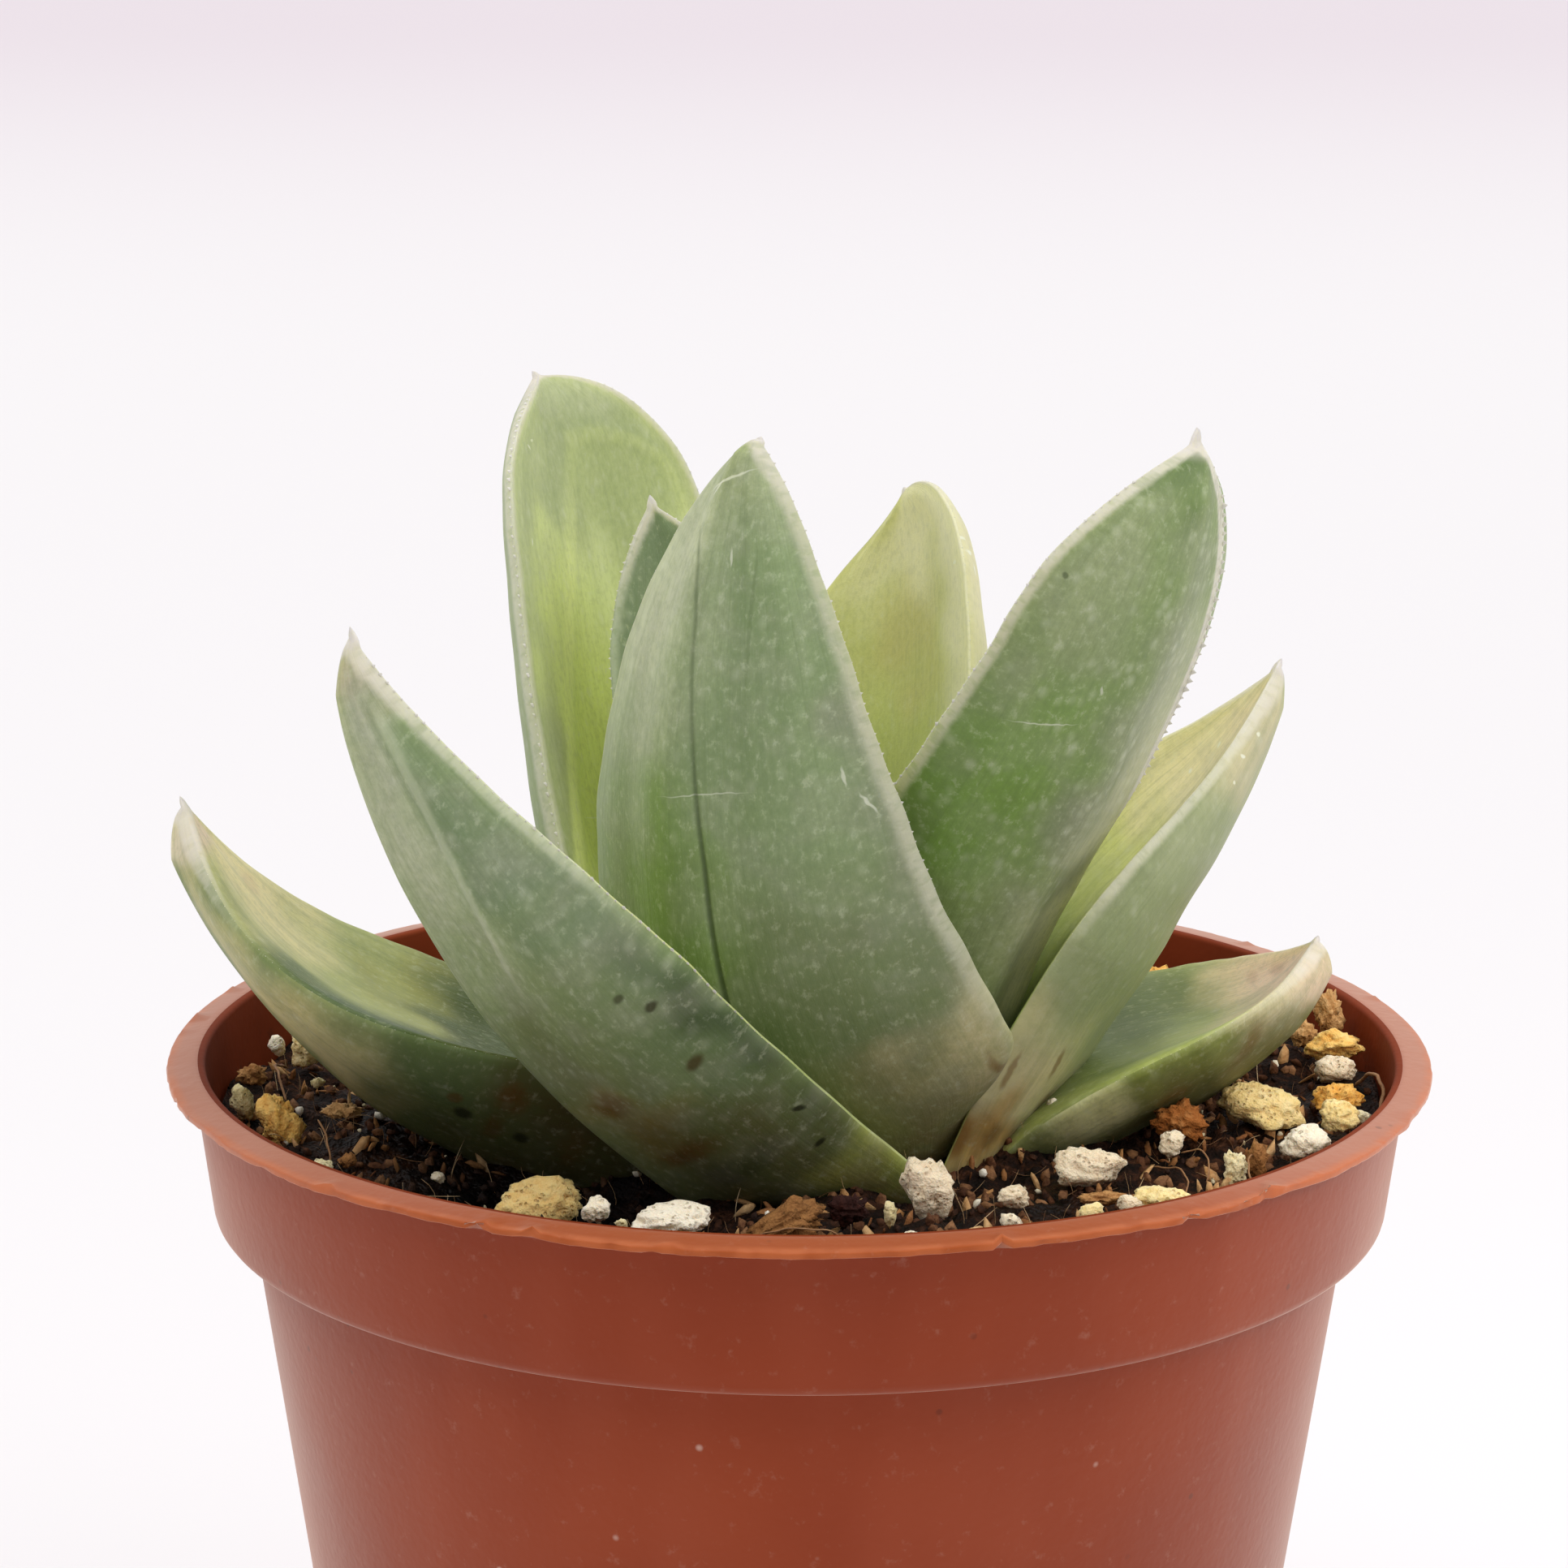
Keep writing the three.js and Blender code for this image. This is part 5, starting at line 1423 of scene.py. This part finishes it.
GRAIN_LOOKS = {
    "perlite": dict(shape=dict(planes=16, sharp=6, rough=0.08, fine=0.04, knobs=0.2), pits=0.3, soft=0.3,
                    stops=[(0.1, "#bf9a6c"), (0.28, "#f2dcba"), (0.5, "#ffedd0"), (0.9, "#fff8e8")]),
    "pumice": dict(shape=dict(planes=14, sharp=7, rough=0.1, fine=0.06, knobs=0.2), pits=0.3, soft=0.3,
                   stops=[(0.1, "#c68c40"), (0.28, "#f8cd80"), (0.5, "#ffe09a"), (0.9, "#fff0c4")]),
    "ochre": dict(shape=dict(planes=12, sharp=9, rough=0.14, fine=0.1, knobs=0.2), pits=0.4, soft=0.2,
                  stops=[(0.1, "#96541a"), (0.3, "#eaa848"), (0.52, "#ffd07a"), (0.9, "#ffecb8")]),
    "cream": dict(shape=dict(planes=9, sharp=12, rough=0.18, fine=0.14), pits=0.3, soft=0.2,
                  stops=[(0.1, "#9a8452"), (0.3, "#e2d09a"), (0.55, "#faecc0"), (0.9, "#fff8de")]),
    "tan": dict(shape=dict(planes=8, sharp=12, rough=0.2, fine=0.11, fibrous=0.2), pits=0, soft=0,
                stops=[(0.1, "#55321a"), (0.35, "#a06e3e"), (0.6, "#cf9f66"), (0.9, "#f0d09c")]),
    "wedge": dict(shape=dict(planes=6, sharp=16, rough=0.14, fine=0.14, fibrous=0.25), pits=0, soft=0,
                  stops=[(0.1, "#442612"), (0.35, "#764a26"), (0.6, "#a0703e"), (0.9, "#cfa06a")]),
    "rust": dict(shape=dict(planes=9, sharp=10, rough=0.16, fine=0.12, fibrous=0.24), pits=0, soft=0,
                 stops=[(0.1, "#40200c"), (0.35, "#86481b"), (0.6, "#ac6a32"), (0.9, "#d2a066")]),
    "dark_bark": dict(shape=dict(planes=8, sharp=12, rough=0.2, fine=0.2, fibrous=0.4), pits=0, soft=0,
                      stops=[(0.1, "#120504"), (0.4, "#34130b"), (0.62, "#5c2a18"), (0.9, "#a8744c")]),
}


def make_grains():
    """The larger grains, one piece for each kind."""
    for kind, look in GRAIN_LOOKS.items():
        points, faces, tints = [], [], []
        for grain, x, y, below, wide, deep, tall, seed in GRAINS:
            if grain != kind:
                continue
            lump, sides = stone(seed, subdivisions=4 if wide > 0.9 else 3, **look["shape"])
            turn = Matrix.Rotation(seed * 2.4, 3, "X") @ Matrix.Rotation(seed * 1.3, 3, "Z")
            lump = lump @ np.array(turn).T
            lump = lump / np.abs(lump).max(0) * np.array([wide, deep, tall])
            if kind == "wedge":
                rise = clamp01((lump[:, 0] + wide) / (1.35 * wide))
                lump[:, 2] = (lump[:, 2] + tall) * rise - tall
            faces += [[i + len(points) for i in f] for f in sides]
            points += (lump + np.array([x, y, POT_HEIGHT + below])).tolist()
            tints += [0.35 + 0.3 * math.sin(seed * 5.1)] * len(lump)
        material = crumb_material(
            kind + "_grain", look["stops"], 0.85, 0.0005, 1100.0, look["pits"],
            Subsurface_Weight=look["soft"], Subsurface_Scale=0.0006, Subsurface_Radius=(1.0, 0.8, 0.6),
            Specular_IOR_Level=0.25)
        piece = make_mesh("grains_" + kind, points, faces, material)
        add_values(piece, "tint", "FLOAT", tints)
        dress(piece, "soil", "soil")


# The fine soil's materials: colour stops from dark to pale, and how rough, deep and wet they are
CRUMB_LOOKS = dict(
    peat_crumb=dict(stops=[(0.2, "#100704"), (0.45, "#2a150b"), (0.65, "#58341d"), (0.85, "#946a46")],
                    rough=0.8, depth=0.0004, wet=True, Specular_IOR_Level=0.25),
    bark_crumb=dict(stops=[(0.15, "#3a1c0c"), (0.4, "#7c4c28"), (0.65, "#b58350"), (0.9, "#e2bc88")],
                    rough=0.85, wet=True, Specular_IOR_Level=0.25),
    pale_crumb=dict(stops=[(0.15, "#a8956a"), (0.4, "#dccfa8"), (0.65, "#f2e9d0"), (0.9, "#fff9ec")],
                    rough=0.85, depth=0.0002),
    root_hair=dict(stops=[(0.15, "#5a3520"), (0.45, "#9a6f48"), (0.7, "#c8a67a"), (0.9, "#e2cda8")],
                   rough=0.7, depth=0.0001))


def make_soil():
    """The bed, the fine crumbs strewn on it, the roots and the larger grains."""
    bed = make_soil_bed()
    crumbs = shape_box("crumb", [shard(50 + i, (1, 0.8, 0.6)) for i in range(6)])
    flakes = shape_box("flake", [shard(60 + i, (1.2, 0.35, 0.16)) for i in range(6)])
    hairs = shape_box("hair", [fibre(i, 6, 0.04) for i in range(70, 76)])
    peat_crumb, bark_crumb, pale_crumb, root_hair = [
        crumb_material(name, **look) for name, look in CRUMB_LOOKS.items()]
    # each with its number on a square metre, its seed, its smallest and largest size, its lift and its reach
    strew(bed, "peat_crumbs", crumbs, peat_crumb, 470000, 5, 0.18, 0.6, 0.05, 38.3)
    strew(bed, "bark_chips", flakes, bark_crumb, 190000, 8, 0.3, 1.1, 0.15, 38.0)
    strew(bed, "pale_crumbs", crumbs, pale_crumb, 22000, 12, 0.12, 0.45, 0.25, 37.6)
    strew(bed, "root_hairs", hairs, root_hair, 120000, 17, 0.15, 0.7, 0.3, 37.0)
    for box in (crumbs, flakes, hairs):
        for shape in list(box.objects):
            bpy.data.objects.remove(shape)
        bpy.data.collections.remove(box)
    make_roots(root_hair)
    make_grains()


# The studio

SIDE_LIGHT = (0.19, -0.07, 0.21)
SOIL_LIGHT = (0.1, -0.2, 0.2)
PLANT_MIDDLE = (0.02, -0.01, 0.075)
RIGHT_SOIL = (0.034, -0.006, 0.0675)

# The camera, fitted to the photograph. The depth is the focal length in pixels.
PICTURE_SIZE = 1932
PICTURE_DEPTH = 5500
SENSOR = 36
CAMERA_PLACE = (-0.00114, -0.29061, 0.15806)
CAMERA_TILT = 13.2
CAMERA_ROLL = 0.0035


def make_floor():
    corners = [(-4500, -3000, 0), (4500, -3000, 0), (4500, 6500, 0), (-4500, 6500, 0)]
    material, n = new_material("pale_floor")
    _, y, _ = n.parts(n.place())
    n.surface(Base_Color=n.blend(n.ramp(y, 0.75, 2.3), "#edebec", "#e1d8de"), Roughness=0.9,
              Specular_IOR_Level=0.1)
    make_mesh("studio_floor", corners, [(0, 1, 2, 3)], material)


def make_room():
    """White walls and ceiling on every side but the camera's, where the room is dark."""
    world = bpy.data.worlds.new("white_room")
    world.use_nodes = True
    world.node_tree.nodes.clear()
    n = Nodes(world.node_tree)
    toward = n.parts(n.add("ShaderNodeTexCoord").outputs["Generated"])
    dark_side = n.ramp(toward[1], -0.25, -0.8)
    strength = n.times(n.maths("MULTIPLY_ADD", dark_side, -0.5, 1.0), n.ramp(toward[2], 0.0, 0.9, 0.8, 0.95))
    sky = n.get("ShaderNodeBackground", Color=(1.0, 0.985, 0.995, 1), Strength=strength)
    n.add("ShaderNodeOutputWorld", None, [sky])
    bpy.context.scene.world = world


def add_light(name, kind, **settings):
    light = bpy.data.lights.new(name, kind)
    for key, value in settings.items():
        setattr(light, key, value)
    return new_piece(name, light)


def aim_light(lamp, place, target):
    turn = (Vector(place) - Vector(target)).to_track_quat("Z", "Y").to_matrix().to_4x4()
    lamp.matrix_world = Matrix.Translation(place) @ turn


def make_studio():
    """A pale floor, a white room, a soft light from above, one from the right and a warm one on the soil."""
    make_floor()
    make_room()
    top = add_light("soft_top_light", "SUN", energy=1.0, angle=math.radians(60))
    top.rotation_euler = (math.radians(12), math.radians(-14), 0)
    aim_light(add_light("soft_side_light", "AREA", size=0.16, energy=0.15), SIDE_LIGHT, PLANT_MIDDLE)
    warm = add_light("warm_soil_light", "SPOT", energy=1.5, color=(1.0, 0.86, 0.68), spot_blend=1.0,
                     spot_size=math.radians(8), shadow_soft_size=0.02)
    aim_light(warm, SOIL_LIGHT, RIGHT_SOIL)
    bpy.context.scene.view_settings.view_transform = "Standard"
    bpy.context.scene.view_settings.look = "None"


def make_camera():
    """Stands where the photograph was taken from."""
    camera = bpy.data.cameras.new("photo_camera")
    camera.sensor_width = SENSOR
    camera.lens = SENSOR * PICTURE_DEPTH / PICTURE_SIZE
    camera.clip_start = 0.01
    camera.clip_end = 100
    holder = new_piece("photo_camera", camera)
    turn = Matrix.Rotation(math.radians(90 - CAMERA_TILT), 4, "X") @ Matrix.Rotation(CAMERA_ROLL, 4, "Z")
    holder.matrix_world = Matrix.Translation(CAMERA_PLACE) @ turn
    bpy.context.scene.camera = holder


make_camera()
make_studio()
make_pot()
make_stem()
make_teeth(make_leaves())
make_soil()
